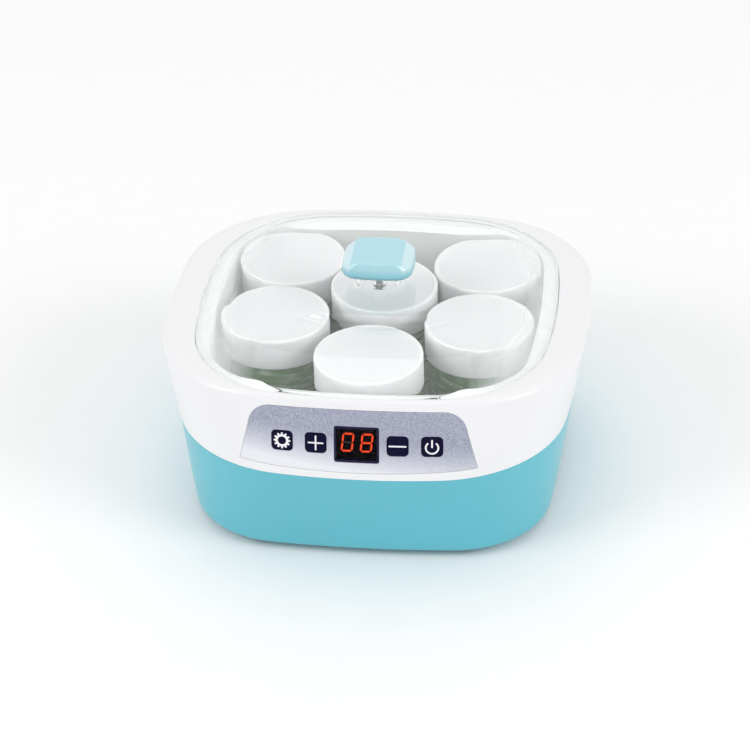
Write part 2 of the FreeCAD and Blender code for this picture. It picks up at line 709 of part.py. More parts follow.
def base_housing():
    """Blue tub with floor, screw columns, board standoffs and the inlet's boss."""
    outside = fuse("base_outside", loft("heel", heel_levels()), base_form("base_flank", 0.0, heel_top))
    inside = base_form("base_inside", S.shell_wall, floor_top)
    tub = cut("base_tub", outside, inside)
    column_top = S.post_joint_z - S.seat_gap
    column_foot = floor_top - S.floor_thickness / 2
    seat = column_top - S.column_shelf
    added, removed = [tub, inlet_boss()], []
    for corner, side_x, side_y in CORNERS:
        x, y = post_x * side_x, post_y * side_y
        column_height = column_top - column_foot
        added.append(cylinder(f"column_{corner}", S.column_radius, column_height, x, y, column_foot))
        bore = S.shell_head_radius + S.slide_gap
        removed.append(cylinder(f"column_bore_{corner}", bore, seat, x, y, 0.0))
        hole = S.shell_screw_radius + S.screw_gap
        removed.append(cylinder(f"column_hole_{corner}", hole, column_top, x, y, 0.0))
        stem = S.foot_stem_radius + S.screw_gap
        foot_x, foot_y = S.foot_x * side_x, S.foot_y * side_y
        removed.append(cylinder(f"foot_hole_{corner}", stem, floor_top + over, foot_x, foot_y, 0.0))
    for index, (x, y) in enumerate(power_screw_points()):
        standoff = S.floor_thickness / 2 + S.power_board_rise
        added.append(cylinder(f"standoff_{index}", S.boss_radius, standoff, x, y, column_foot))
        pilot = S.small_screw_radius + S.screw_gap
        pilot_foot = column_foot + standoff / 2
        removed.append(cylinder(f"standoff_pilot_{index}", pilot, standoff, x, y, pilot_foot))
    clear = S.slide_gap * 2
    mouth = box(
        "inlet_mouth", S.inlet_width + clear, inlet_boss_depth * 2, S.inlet_height + clear,
        0.0, inlet_face_y - inlet_boss_depth / 2, S.inlet_z - (S.inlet_height + clear) / 2,
    )
    removed.append(mouth)
    keep("base_housing", cut("base_housing", fuse("base_added", *added), *removed))


def power_screw_points():
    """The power board's four screws."""
    reach_x = S.power_board_width / 2 - S.power_screw_inset
    reach_y = S.power_board_length / 2 - S.power_screw_inset
    return [(S.power_board_x + reach_x * i, power_board_y + reach_y * j) for _, i, j in CORNERS]


def feet():
    """Four rubber feet, each with a stem and a head that snaps through the floor."""
    stem_top = floor_top + S.seat_gap
    head_top = stem_top + S.foot_head_height
    profile = (
        (ZERO, ZERO),
        (S.foot_radius, ZERO),
        (S.foot_radius, S.foot_height),
        (S.foot_stem_radius, S.foot_height),
        (S.foot_stem_radius, stem_top),
        (S.foot_head_radius, stem_top),
        (S.foot_stem_radius, head_top),
        (ZERO, head_top),
    )
    for corner, side_x, side_y in CORNERS:
        keep(f"foot_{corner}", turned_body(f"foot_{corner}", profile, S.foot_x * side_x, S.foot_y * side_y))


def shell_screws():
    """Four screws deep in the columns, biting into the collar's posts."""
    seat = S.post_joint_z - S.seat_gap - S.column_shelf
    length = S.column_shelf + S.seat_gap + S.shell_screw_bite
    screws = []
    for corner, side_x, side_y in CORNERS:
        screws.append(small_screw(
            f"shell_screw_{corner}", post_x * side_x, post_y * side_y, seat, length,
            S.shell_screw_radius, S.shell_head_radius, S.shell_head_height,
        ))
    keep("shell_screws", group("shell_screws", *screws))


# Collar

def collar_flank(name, inset):
    """The collar's flank between parting line and shoulder, inset from its outside."""
    lower = contour(f"{name}_low", "parting", S.parting_z, inset)
    upper = contour(f"{name}_high", "shoulder", shoulder_z, inset)
    return loft(name, [lower, upper])


def brow_levels():
    """Levels of the rounded top edge, a quarter ellipse from the shoulder up to the top."""
    steps = 4
    levels = []
    for step in range(steps + 1):
        angle = math.pi / 2 * step / steps
        fall = 1 - math.cos(angle)
        rise = S.brow_height * math.sin(angle)
        inset_x, inset_y = S.brow_inset_x * fall, S.brow_inset_y * fall
        levels.append(contour(f"brow_{step}", "shoulder", shoulder_z + rise, inset_x, inset_y))
    return levels


def ring(name, prefix, outer_inset, inner_inset, z, height):
    """An upright band between two insets of a contour."""
    outer = prism(f"{name}_outer", contour(f"{name}_out", prefix, z, outer_inset), height)
    inner = prism(f"{name}_inner", contour(f"{name}_in", prefix, z, inner_inset), height)
    return cut(name, outer, inner)


def on_panel(obj, x=0.0, up=0.0, out=0.0):
    """Place an object in the front panel's frame: sideways, up the face, out of it."""
    shift = Placement(Vector(value_of(x), value_of(up), value_of(out)), Rotation())
    obj.Placement = PANEL.multiply(shift)
    return obj


def panel_prism(name, draw, x, out, depth):
    """A prism square to the front panel that starts at one depth and runs inwards."""
    sketch = doc.addObject("Sketcher::SketchObject", f"{name}_outline")
    draw(sketch)
    on_panel(sketch, x, 0.0, out)
    return prism(name, sketch, 0.0, depth)


def panel_block(name, width, height, corner, x, grow=0.0):
    """A rounded block through the front wall, as deep as the control board."""
    def draw(sketch):
        twice = ZERO + grow + grow
        draw_rounded_rectangle(sketch, twice + width, twice + height, corner + grow)
    return panel_prism(name, draw, x, S.board_depth, S.board_depth * 2)


def skin(name, outer_inset, inner_inset):
    """The layer of the collar's flank between two depths."""
    outer = collar_flank(f"{name}_outer", outer_inset)
    inner = collar_flank(f"{name}_inner", inner_inset)
    return cut(name, outer, inner)


KEYS = (
    ("key_mode", -outer_key_x),
    ("key_plus", -inner_key_x),
    ("key_minus", inner_key_x),
    ("key_power", outer_key_x),
)


def overlay_prism(name, grow):
    """The overlay's outline pushed through the front wall."""
    def draw(sketch):
        draw_overlay(sketch, grow)

    return panel_prism(name, draw, 0.0, S.board_depth, S.board_depth * 2)


def board_points():
    """The control board's four screws, in the panel's frame."""
    reach_x, reach_up = board_half_x - S.board_screw_inset, board_half_up - S.board_screw_inset
    return [(reach_x * i, reach_up * j) for _, i, j in CORNERS]


def upper_shell():
    """White collar: flank, rounded brow, lid recess, overlay pocket, posts and lip."""
    outside = fuse("collar_outside", collar_flank("collar_flank", 0.0), loft("brow", brow_levels()))
    reach_x, reach_y = S.shoulder_half_x * 3, S.parting_half_y * 3
    below_shelf = box("cavity_reach", reach_x, reach_y, shelf_bottom - S.parting_z, z=S.parting_z)
    cavity = common("collar_cavity", collar_flank("collar_hollow", S.shell_wall), below_shelf)
    recess = prism("lid_recess", contour("recess_outline", "recess", recess_floor), S.recess_depth + over)
    opening_inset = -(S.well_wall + S.slide_gap * 2)
    opening_outline = contour("opening_outline", "well", S.parting_z, opening_inset)
    opening = prism("well_opening", opening_outline, collar_top)
    scoop_width = (S.scoop_half_x + S.slide_gap * 2) * 2
    scoop_length = S.well_half_y + S.scoop_reach + S.well_wall + S.slide_gap * 2
    scoop_size = (scoop_width, scoop_length, collar_top)
    scoop_opening = box("scoop_opening", *scoop_size, y=-scoop_length / 2, z=S.parting_z)
    shell = cut("collar_shell", outside, cavity, recess, opening, scoop_opening)
    pocket_depth = S.overlay_thickness + S.seat_gap
    pocket_layer = skin("pocket_skin", -over, pocket_depth)
    pocket = common("overlay_pocket", overlay_prism("pocket_prism", S.seat_gap), pocket_layer)
    window = (S.window_width, S.window_height, S.window_corner)
    removed = [pocket, panel_block("window_hole", *window, 0.0, S.seat_gap)]
    for node, x in KEYS:
        removed.append(panel_block(f"{node}_hole", S.key_size, S.key_size, S.key_corner, x, S.slide_gap))
    bosses, pilots = [], []
    pilot = S.small_screw_radius + S.screw_gap
    for index, (x, up) in enumerate(board_points()):
        depth, bite = S.board_depth, S.small_screw_bite + over
        bosses.append(panel_cylinder(f"board_boss_{index}", S.boss_radius, depth, x, up, -depth))
        pilots.append(panel_cylinder(f"board_pilot_{index}", pilot, bite, x, up, -(depth + over)))
    boss_limit = collar_flank("boss_limit", S.shell_wall / 2 + pocket_depth / 2)
    held = common("board_bosses", fuse("board_boss_row", *bosses), boss_limit)
    lip_draft = S.lip_height * flank_draft
    lip_outer = S.shell_wall + S.slide_gap + lip_draft
    lip_inner = lip_outer + S.lip_thickness
    lip_foot, lip_rise = S.parting_z - S.lip_height, S.lip_height + S.shell_wall / 2
    lip = ring("lip", "parting", lip_outer, lip_inner, lip_foot, lip_rise)
    shelf = ring("lip_shelf", "parting", S.shell_wall / 2, lip_inner, S.parting_z, S.shell_wall / 2)
    added = [held, lip, shelf]
    for corner, side_x, side_y in CORNERS:
        x, y = post_x * side_x, post_y * side_y
        height = recess_floor - S.seat_gap - S.post_joint_z
        added.append(cylinder(f"post_{corner}", S.post_radius, height, x, y, S.post_joint_z))
        hole, bite = S.shell_screw_radius + S.screw_gap, S.shell_screw_bite + S.shell_wall
        pilots.append(cylinder(f"post_pilot_{corner}", hole, bite, x, y, S.post_joint_z))
    walls = cut("collar_walls", shell, *removed)
    keep("upper_shell", cut("upper_shell", fuse("collar_added", walls, *added), *pilots))


def panel_cylinder(name, radius, height, x, up, out):
    """A cylinder square to the front panel, running outwards from one depth."""
    obj = doc.addObject("Part::Cylinder", name)
    bind(obj, "Radius", radius)
    bind(obj, "Height", height)
    return on_panel(obj, x, up, out)


def panel_pieces():
    """Overlay film, display lens and the four keys, all cut from the flank's own layers."""
    film = skin("film_skin", 0.0, S.overlay_thickness)
    sheet_film = common("film", overlay_prism("film_prism", 0.0), film)
    holes = [panel_block("film_window", S.window_width, S.window_height, S.window_corner, 0.0, S.seat_gap)]
    for node, x in KEYS:
        holes.append(panel_block(f"film_{node}", S.key_size, S.key_size, S.key_corner, x, S.slide_gap))
    keep("panel_overlay", cut("panel_overlay", sheet_film, *holes))
    lens = panel_block("lens_block", S.window_width, S.window_height, S.window_corner, 0.0)
    keep("display_window", common("display_window", lens, skin("lens_skin", 0.0, S.window_thickness)))
    flange_front = S.shell_wall + S.slide_gap
    flange_back = flange_front + S.key_flange_thickness
    for node, x in KEYS:
        face = panel_block(f"{node}_block", S.key_size, S.key_size, S.key_corner, x)
        cap = common(f"{node}_cap", face, skin(f"{node}_cap_skin", -S.key_proud, flange_back))
        grow = S.slide_gap + S.key_flange
        wide = panel_block(f"{node}_wide", S.key_size, S.key_size, S.key_corner, x, grow)
        flange = common(f"{node}_flange", wide, skin(f"{node}_flange_skin", flange_front, flange_back))
        stem_end = S.board_depth - S.switch_height - S.switch_button_height - S.key_travel - S.seat_gap
        stem = panel_cylinder(f"{node}_stem", S.key_stem_radius, stem_end - S.shell_wall, x, 0.0, -stem_end)
        stem_held = common(f"{node}_stem_held", stem, collar_flank(f"{node}_stem_limit", S.shell_wall))
        keep(node, fuse(node, cap, flange, stem_held))


# Boards

def control_board():
    """Control board behind the front panel with its switches and display module."""
    board = doc.addObject("PartDesign::Body", "control_board")
    outline = body_sketch(board, "control_board_outline", "XY_Plane")
    x, y = board_half_x, board_half_up
    draw_polygon(outline, ((-x, -y), (x, -y), (x, y), (-x, y)))
    add_pad(board, "control_board_pad", outline, S.board_thickness)
    hole = S.small_screw_radius + S.screw_gap
    add_holes(board, "control_board_holes", hole, board_points(), S.board_thickness, S.board_thickness)
    keep("control_board", on_panel(board, 0.0, 0.0, -(S.board_depth + S.board_thickness)))
    switches, screws = [], []
    for node, x in KEYS:
        base = doc.addObject("Part::Box", f"{node}_switch_base")
        bind(base, "Length", S.switch_size)
        bind(base, "Width", S.switch_size)
        bind(base, "Height", S.switch_height)
        on_panel(base, x - S.switch_size / 2, -S.switch_size / 2, -S.board_depth)
        button_height = S.switch_height + S.switch_button_height
        button = panel_cylinder(
            f"{node}_switch_button", S.switch_button_radius, button_height, x, 0.0, -S.board_depth,
        )
        switches.append(fuse(f"{node}_switch", base, button))
    keep("tact_switches", group("tact_switches", *switches))
    back = S.board_depth + S.board_thickness
    for index, (x, up) in enumerate(board_points()):
        length = S.small_head_height + S.board_thickness + S.small_screw_bite
        foot = -(back + S.small_head_height)
        shank = panel_cylinder(f"board_shank_{index}", S.small_screw_radius, length, x, up, foot)
        head = panel_cylinder(f"board_head_{index}", S.small_head_radius, S.small_head_height, x, up, foot)
        screws.append(fuse(f"board_screw_{index}", shank, head))
    keep("board_screws", group("board_screws", *screws))
    module = doc.addObject("Part::Box", "display_module")
    depth = S.board_depth - S.window_thickness - S.slide_gap * 2
    bind(module, "Length", S.module_width)
    bind(module, "Width", S.module_height)
    bind(module, "Height", depth)
    on_panel(module, -S.module_width / 2, -S.module_height / 2, -S.board_depth)
    keep("display_module", module)


def power_board():
    """Power board on the floor behind the middle, with its parts."""
    board_z = floor_top + S.power_board_rise
    board_top = board_z + S.board_thickness
    board = doc.addObject("PartDesign::Body", "power_board")
    outline = body_sketch(board, "power_board_outline", "XY_Plane", board_z)
    half_x, half_y = S.power_board_width / 2, S.power_board_length / 2
    left, right = S.power_board_x - half_x, S.power_board_x + half_x
    front, rear = power_board_y - half_y, power_board_y + half_y
    draw_polygon(outline, ((left, front), (right, front), (right, rear), (left, rear)))
    add_pad(board, "power_board_pad", outline, S.board_thickness)
    hole = S.small_screw_radius + S.screw_gap
    add_holes(board, "power_board_holes", hole, power_screw_points(), board_top, S.board_thickness)
    keep("power_board", board)
    screws = []
    for index, (x, y) in enumerate(power_screw_points()):
        length = S.board_thickness + S.small_screw_bite / 2
        shank = cylinder(f"power_shank_{index}", S.small_screw_radius, length, x, y, board_top - length)
        head = cylinder(f"power_head_{index}", S.small_head_radius, S.small_head_height, x, y, board_top)
        screws.append(fuse(f"power_screw_{index}", shank, head))
    keep("power_board_screws", group("power_board_screws", *screws))
    x, y = S.power_board_x, power_board_y
    relay = box(
        "relay", S.relay_length, S.relay_width, S.part_height,
        x + S.relay_x, y - S.relay_front - S.relay_width / 2, board_top,
    )
    keep("relay", relay)
    size = S.transformer_size
    keep("transformer", box("transformer", size, size, S.part_height, x - size, y - size / 2, board_top))
    radius, length = S.capacitor_radius, S.capacitor_length
    keep("filter_capacitor", cylinder(
        "filter_capacitor", radius, length, x - length - radius, y + radius * 3, board_top + radius, "X",
    ))
    keep("buzzer", cylinder(
        "buzzer", S.buzzer_radius, S.buzzer_height, x + S.buzzer_x, y + S.buzzer_behind, board_top,
    ))
    block = box(
        "terminal_block", S.terminal_length, S.terminal_width, S.part_height,
        x + S.terminal_length / 2, rear - S.terminal_width / 2 - S.lead_radius, board_top,
    )
    keep("terminal_block", block)


# Well and heater

def inner_well():
    """Tapered tub whose wide rim lies in the collar's recess and slopes into the mouth at the front."""
    well = doc.addObject("PartDesign::Body", "inner_well")

    def level(name, inset, z):
        return body_contour(
            well, name, S.well_half_x - inset, S.well_half_y - inset,
            S.well_bow - inset, S.well_corner - inset, z,
        )

    outside = [
        level("well_outside_low", S.well_taper - S.well_wall, plate_top),
        level("well_outside_high", -S.well_wall, rim_top),
    ]
    add_loft(well, "Additive", "well_outside", outside)
    rim = body_contour(
        well, "well_rim_outline",
        S.recess_half_x - S.slide_gap, S.recess_half_y - S.slide_gap,
        S.recess_bow - S.slide_gap, S.recess_corner - S.slide_gap, recess_floor,
    )
    add_pad(well, "well_rim_pad", rim, S.well_rim)
    edge, back = -(S.well_half_y + S.scoop_reach), -(S.well_half_y - S.scoop_reach)
    front, low = edge - S.well_wall, rim_top - S.scoop_drop * 2
    wedge = body_sketch(well, "scoop_wedge", "YZ_Plane")
    draw_polygon(wedge, ((front, recess_floor), (back, low - S.well_wall), (back, rim_top), (front, rim_top)))
    add_pad(well, "scoop_wedge_pad", wedge, S.scoop_half_x * 2, True)
    inside = [
        level("well_inside_low", S.well_taper, S.well_floor_z),
        level("well_inside_high", ZERO, rim_top),
    ]
    add_loft(well, "Subtractive", "well_inside", inside)
    slope = body_sketch(well, "scoop_slope", "YZ_Plane")
    above = rim_top + over
    draw_polygon(slope, ((edge, rim_top), (back, low), (back, above), (edge, above)))
    scoop = well.newObject("PartDesign::Pocket", "scoop")
    scoop.Profile = slope
    scoop.Midplane = True
    bind(scoop, "Length", (S.scoop_half_x - S.well_wall) * 2)
    keep("inner_well", well)


def clamp_points():
    """The heater clamp's two screws."""
    reach = S.heater_length / 2 + S.clamp_thickness + S.clamp_tab / 2
    return [(-reach, ZERO), (reach, ZERO)]


def heater():
    """Heating plate under the well's floor, heater block, clamp, screws, sensor and fuse."""
    plate = doc.addObject("PartDesign::Body", "heating_plate")
    inset = S.well_taper + S.plate_inset
    outline = body_contour(
        plate, "heating_plate_outline",
        S.well_half_x - inset, S.well_half_y - inset,
        S.well_bow - inset, S.well_corner - inset, plate_bottom,
    )
    add_pad(plate, "heating_plate_pad", outline, S.plate_thickness)
    hole = S.small_screw_radius + S.screw_gap
    add_holes(plate, "heating_plate_holes", hole, clamp_points(), plate_top, S.plate_thickness)
    keep("heating_plate", plate)
    heater_bottom = plate_bottom - S.heater_height
    size = (S.heater_length, S.heater_width, S.heater_height)
    keep("ptc_heater", box("ptc_heater", *size, 0.0, 0.0, heater_bottom))
    clamp = doc.addObject("PartDesign::Body", "heater_clamp")
    profile = body_sketch(clamp, "heater_clamp_profile", "XZ_Plane")
    wall = S.clamp_thickness
    inner = S.heater_length / 2 + S.seat_gap
    outer = inner + wall
    tip = outer + S.clamp_tab
    tab_low = plate_bottom - wall
    low = heater_bottom - wall
    draw_polygon(profile, (
        (-tip, tab_low), (-outer, tab_low), (-outer, low), (outer, low), (outer, tab_low), (tip, tab_low),
        (tip, plate_bottom), (inner, plate_bottom), (inner, heater_bottom), (-inner, heater_bottom),
        (-inner, plate_bottom), (-tip, plate_bottom),
    ))
    add_pad(clamp, "heater_clamp_pad", profile, S.clamp_width, True)
    add_holes(clamp, "heater_clamp_holes", hole, clamp_points(), plate_bottom, wall)
    keep("heater_clamp", clamp)
    screws = []
    for side, (x, y) in zip(("left", "right"), clamp_points()):
        screws.append(small_screw(
            f"clamp_screw_{side}", x, y, tab_low, wall + S.plate_thickness,
            S.small_screw_radius, S.small_head_radius, S.small_head_height,
        ))
    keep("clamp_screws", group("clamp_screws", *screws))
    for node, radius, length, y in (
        ("temperature_sensor", S.sensor_radius, S.sensor_length, S.sensor_y),
        ("thermal_fuse", S.fuse_radius, S.fuse_length, S.fuse_y),
    ):
        keep(node, cylinder(node, radius, length, -length / 2, y, plate_bottom - radius - S.seat_gap, "X"))


# Mains inlet and wires

def mains_inlet():
    """Two-pin inlet in the rear boss, with a socket of two lobes."""
    middle_y = inlet_face_y - S.inlet_depth / 2
    block = box(
        "inlet_block", S.inlet_width, S.inlet_depth, S.inlet_height,
        0.0, middle_y, S.inlet_z - S.inlet_height / 2,
    )
    flange_height = S.inlet_height + S.inlet_border * 2
    boss_front = inlet_face_y - inlet_boss_depth
    flange = box(
        "inlet_flange_plate", S.inlet_width + S.inlet_border * 2, S.inlet_flange, flange_height,
        0.0, boss_front - S.inlet_flange / 2, S.inlet_z - flange_height / 2,
    )
    socket_y = inlet_face_y - S.socket_depth
    depth = S.socket_depth + over
    tools = [box(
        "socket_waist", S.pin_spacing, depth, S.socket_radius * 2,
        0.0, socket_y + depth / 2, S.inlet_z - S.socket_radius,
    )]
    pins = []
    for side, sign in (("left", -1), ("right", 1)):
        x = S.pin_spacing * (sign / 2)
        tools.append(cylinder(f"socket_lobe_{side}", S.socket_radius, depth, x, socket_y, S.inlet_z, "Y"))
        tail = inlet_face_y - S.inlet_depth - S.pin_tail
        hole = S.pin_radius + S.screw_gap
        tools.append(cylinder(f"pin_hole_{side}", hole, S.inlet_depth, x, tail, S.inlet_z, "Y"))
        length = S.pin_tail + S.inlet_depth - S.pin_below_face
        pins.append(cylinder(f"inlet_pin_{side}", S.pin_radius, length, x, tail, S.inlet_z, "Y"))
    keep("mains_inlet", cut("mains_inlet", fuse("inlet_solid", block, flange), *tools))
    keep("inlet_pins", group("inlet_pins", *pins))


def bent_tube(points, radius, bend):
    """A round wire through points, with its corners bent to one radius."""
    edges = []
    start = points[0]
    for before, corner, after in zip(points, points[1:], points[2:]):
        way_in = (corner - before).normalize()
        way_out = (after - corner).normalize()
        turn = way_in.getAngle(way_out)
        trim = bend * math.tan(turn / 2)
        inward = (way_out - way_in).normalize()
        middle = corner + inward * (bend / math.cos(turn / 2) - bend)
        first, last = corner - way_in * trim, corner + way_out * trim
        edges.append(Part.LineSegment(start, first).toShape())
        edges.append(Part.Arc(first, middle, last).toShape())
        start = last
    edges.append(Part.LineSegment(start, points[-1]).toShape())
    path = Part.Wire(edges)
    section = Part.Wire(Part.makeCircle(radius, points[0], points[1] - points[0]))
    return path.makePipeShell([section], True, False)


def leads():
    """Wires held inside: two from the inlet to the terminals and two from the relay to the heater."""
    board_top = floor_top + S.power_board_rise + S.board_thickness
    radius, bend = S.lead_radius.value, S.lead_bend.value
    level = (board_top + S.part_height / 2).value
    gap = S.seat_gap.value
    tail_y = (inlet_face_y - S.inlet_depth - S.pin_tail).value - gap
    block_y = (power_board_y + S.power_board_length / 2 - S.lead_radius).value + gap
    block_x = (S.power_board_x + S.terminal_length / 2).value
    inlet_pair = []
    for sign in (-1, 1):
        x, z = S.pin_spacing.value * sign / 2, S.inlet_z.value
        end_x, end_z = block_x + sign * 3 * radius, level + sign * 1.5 * radius
        fold = tail_y - bend * 1.4 + sign * 1.5 * radius
        inlet_pair.append(bent_tube([
            Vector(x, tail_y, z), Vector(x, fold, z), Vector(x, fold, end_z),
            Vector(end_x, fold, end_z), Vector(end_x, block_y, end_z),
        ], radius, bend / 2))
    heater_y = S.heater_width.value / 2 + gap
    heater_z = (plate_bottom - S.heater_height / 2).value
    relay_y = (power_board_y - S.relay_front - S.relay_width).value - gap
    middle_x = (S.power_board_x + S.relay_x).value + 2 * bend
    heater_pair = []
    for sign in (-1, 1):
        x = middle_x - bend + sign * 2 * radius
        heater_pair.append(bent_tube([
            Vector(x, heater_y, heater_z), Vector(x, relay_y - 6 * bend, heater_z),
            Vector(x, relay_y - 3 * bend, level), Vector(x, relay_y, level),
        ], radius, bend))
    for node, pair in (("inlet_leads", inlet_pair), ("heater_leads", heater_pair)):
        obj = doc.addObject("Part::Feature", node)
        obj.Shape = Part.makeCompound(pair)
        keep(node, obj)


def ribbon_cable():
    """Flat cable from the control board's lower edge down and back to the power board."""
    board_edge = PANEL.multVec(Vector(
        0, -(board_half_up + S.seat_gap).value, -(S.board_depth + S.board_thickness / 2).value,
    ))
    ribbon = doc.addObject("PartDesign::Body", "ribbon_cable")
    profile = body_sketch(ribbon, "ribbon_profile", "YZ_Plane", S.ribbon_x)
    thick = S.ribbon_thickness
    front = S.ribbon_front_y
    low = floor_top + S.power_board_rise + (S.board_thickness - thick) / 2
    end = power_board_y - S.power_board_length / 2 - S.seat_gap
    knee = S.parting_z - S.lip_height
    draw_polygon(profile, (
        (board_edge.y, board_edge.z), (front, knee), (front, low), (end, low), (end, low + thick),
        (front + thick, low + thick), (front + thick, knee), (board_edge.y + thick.value, board_edge.z),
    ))
    add_pad(ribbon, "ribbon_pad", profile, S.ribbon_width, True)
    keep("ribbon_cable", ribbon)


def lid():
    """Clear lid with flange, sloped wall, plateau, raised panel and hollow pedestal."""
    gap = S.slide_gap
    edge = gap + S.lid_flange_width
    drop = S.lid_wall
    flange_outline = contour("lid_flange_outline", "recess", lid_bottom, gap)
    flange = prism("lid_flange", flange_outline, S.lid_flange_thickness)
    slope = loft("lid_slope", [
        contour("lid_slope_low", "recess", flange_top, edge),
        contour("lid_slope_top", "plateau", plateau_z),
    ])
    raised = loft("raised_panel", [
        raised_foot("raised_low", plateau_z, 0.0),
        raised_top("raised_high", raised_z, 0.0),
    ])
    solid = fuse("lid_solid", flange, slope, raised, pedestal_form())
    mouth_edge = edge + S.lid_mouth_inset
    mouth_top = flange_top - drop / 2
    mouth_outline = contour("lid_mouth_outline", "recess", lid_bottom - over, mouth_edge)
    mouth = prism("lid_mouth", mouth_outline, mouth_top - lid_bottom + over)
    hollow = loft("lid_hollow", [
        contour("lid_hollow_low", "recess", mouth_top, mouth_edge),
        contour("lid_hollow_top", "plateau", plateau_z - drop, drop),
    ])
    panel_hollow = loft("raised_hollow", [
        raised_foot("raised_hollow_low", plateau_z - drop * 2, drop),
        raised_foot("raised_hollow_mid", plateau_z - drop, drop),
        raised_top("raised_hollow_high", raised_z - drop, drop),
    ])
    room = box(
        "pedestal_room", (S.pedestal_half_x - drop) * 2, (S.pedestal_half_y - drop) * 2,
        S.pedestal_height + drop, 0.0, S.knob_y, raised_z - drop * 2,
    )
    boss_height = S.pedestal_height + drop * 2
    boss = cylinder("pedestal_boss", S.pedestal_boss, boss_height, 0.0, S.knob_y, raised_z - drop)
    pedestal_hollow = cut("pedestal_hollow", room, boss)
    hole_radius = S.knob_screw_radius + S.screw_gap
    hole = cylinder("pedestal_hole", hole_radius, pedestal_top + over - plateau_z, 0.0, S.knob_y, plateau_z)
    keep("lid", cut("lid", solid, mouth, hollow, panel_hollow, pedestal_hollow, hole))


def raised_foot(name, z, inset):
    """Foot of the raised panel: its ramps reach further at the sides and the rear than at the front."""
    ramp = (S.raised_rear_ramp + S.raised_step) / 2
    sketch = contour(name, "raised", z, -S.raised_side_ramp + inset, -ramp + inset)
    bind(sketch, "Placement.Base.y", S.raised_y + (S.raised_rear_ramp - S.raised_step) / 2)
    return sketch


def raised_top(name, z, inset):
    """Top outline of the raised panel."""
    sketch = contour(name, "raised", z, inset)
    bind(sketch, "Placement.Base.y", S.raised_y)
    return sketch


def pedestal_form():
    """Pedestal under the knob with a flared foot."""
    levels = []
    for index, (grow, z) in enumerate((
        (S.pedestal_flare, raised_z - S.lid_wall / 2),
        (S.pedestal_flare, raised_z),
        (ZERO, raised_z + S.pedestal_flare),
        (ZERO, pedestal_top),
    )):
        sketch = doc.addObject("Sketcher::SketchObject", f"pedestal_{index}")
        width, depth = (S.pedestal_half_x + grow) * 2, (S.pedestal_half_y + grow) * 2
        draw_rounded_rectangle(sketch, width, depth, S.pedestal_corner)
        bind(sketch, "Placement.Base.y", S.knob_y)
        bind(sketch, "Placement.Base.z", z)
        levels.append(sketch)
    return loft("pedestal", levels)


def lid_knob():
    """Faceted pillow knob and the screw that holds it."""
    knob = doc.addObject("PartDesign::Body", "lid_knob")
    top = knob_bottom + S.knob_height
    levels = (
        (S.knob_under_inset, S.knob_under_inset, knob_bottom),
        (ZERO, ZERO, knob_bottom + S.knob_belt),
        (S.knob_draft, S.knob_draft, knob_bottom + S.knob_shoulder),
        (S.knob_chamfer, S.knob_front_round, top - S.knob_crown),
        (S.knob_chamfer + S.knob_crown_inset, S.knob_front_round + S.knob_crown_inset, top),
    )
    sections = []
    for index, (inset_x, inset_y, z) in enumerate(levels):
        sections.append(body_contour(
            knob, f"knob_level_{index}", S.knob_half_x - inset_x, S.knob_half_y - inset_y,
            S.knob_bow - inset_x, S.knob_corner - inset_x / 2, z,
        ))
    add_loft(knob, "Additive", "knob_form", sections)
    sketch = body_sketch(knob, "knob_pilot_sketch", "XY_Plane", knob_bottom)
    draw_circle(sketch, S.knob_screw_radius + S.screw_gap)
    pilot = knob.newObject("PartDesign::Pocket", "knob_pilot")
    pilot.Profile = sketch
    pilot.Reversed = True
    bind(pilot, "Length", S.knob_screw_bite + S.screw_gap)
    keep("lid_knob", place(knob, 0.0, S.knob_y, 0.0))
    seat = raised_z - S.lid_wall - S.screw_gap
    length = S.lid_wall + S.screw_gap + S.pedestal_height + S.seat_gap + S.knob_screw_bite
    screw = small_screw(
        "knob_screw", 0.0, S.knob_y, seat, length,
        S.knob_screw_radius, S.knob_screw_head_radius, S.knob_screw_head_height,
    )
    keep("knob_screw", screw)


# Jars and caps

JARS = (
    ("front", ZERO, S.front_jar_y),
    ("middle", ZERO, S.middle_jar_y),
    ("left_front", -S.side_front_jar_x, S.side_front_jar_y),
    ("left_rear", -S.side_rear_jar_x, S.side_rear_jar_y),
    ("right_front", S.side_front_jar_x, S.side_front_jar_y),
    ("right_rear", S.side_rear_jar_x, S.side_rear_jar_y),
)


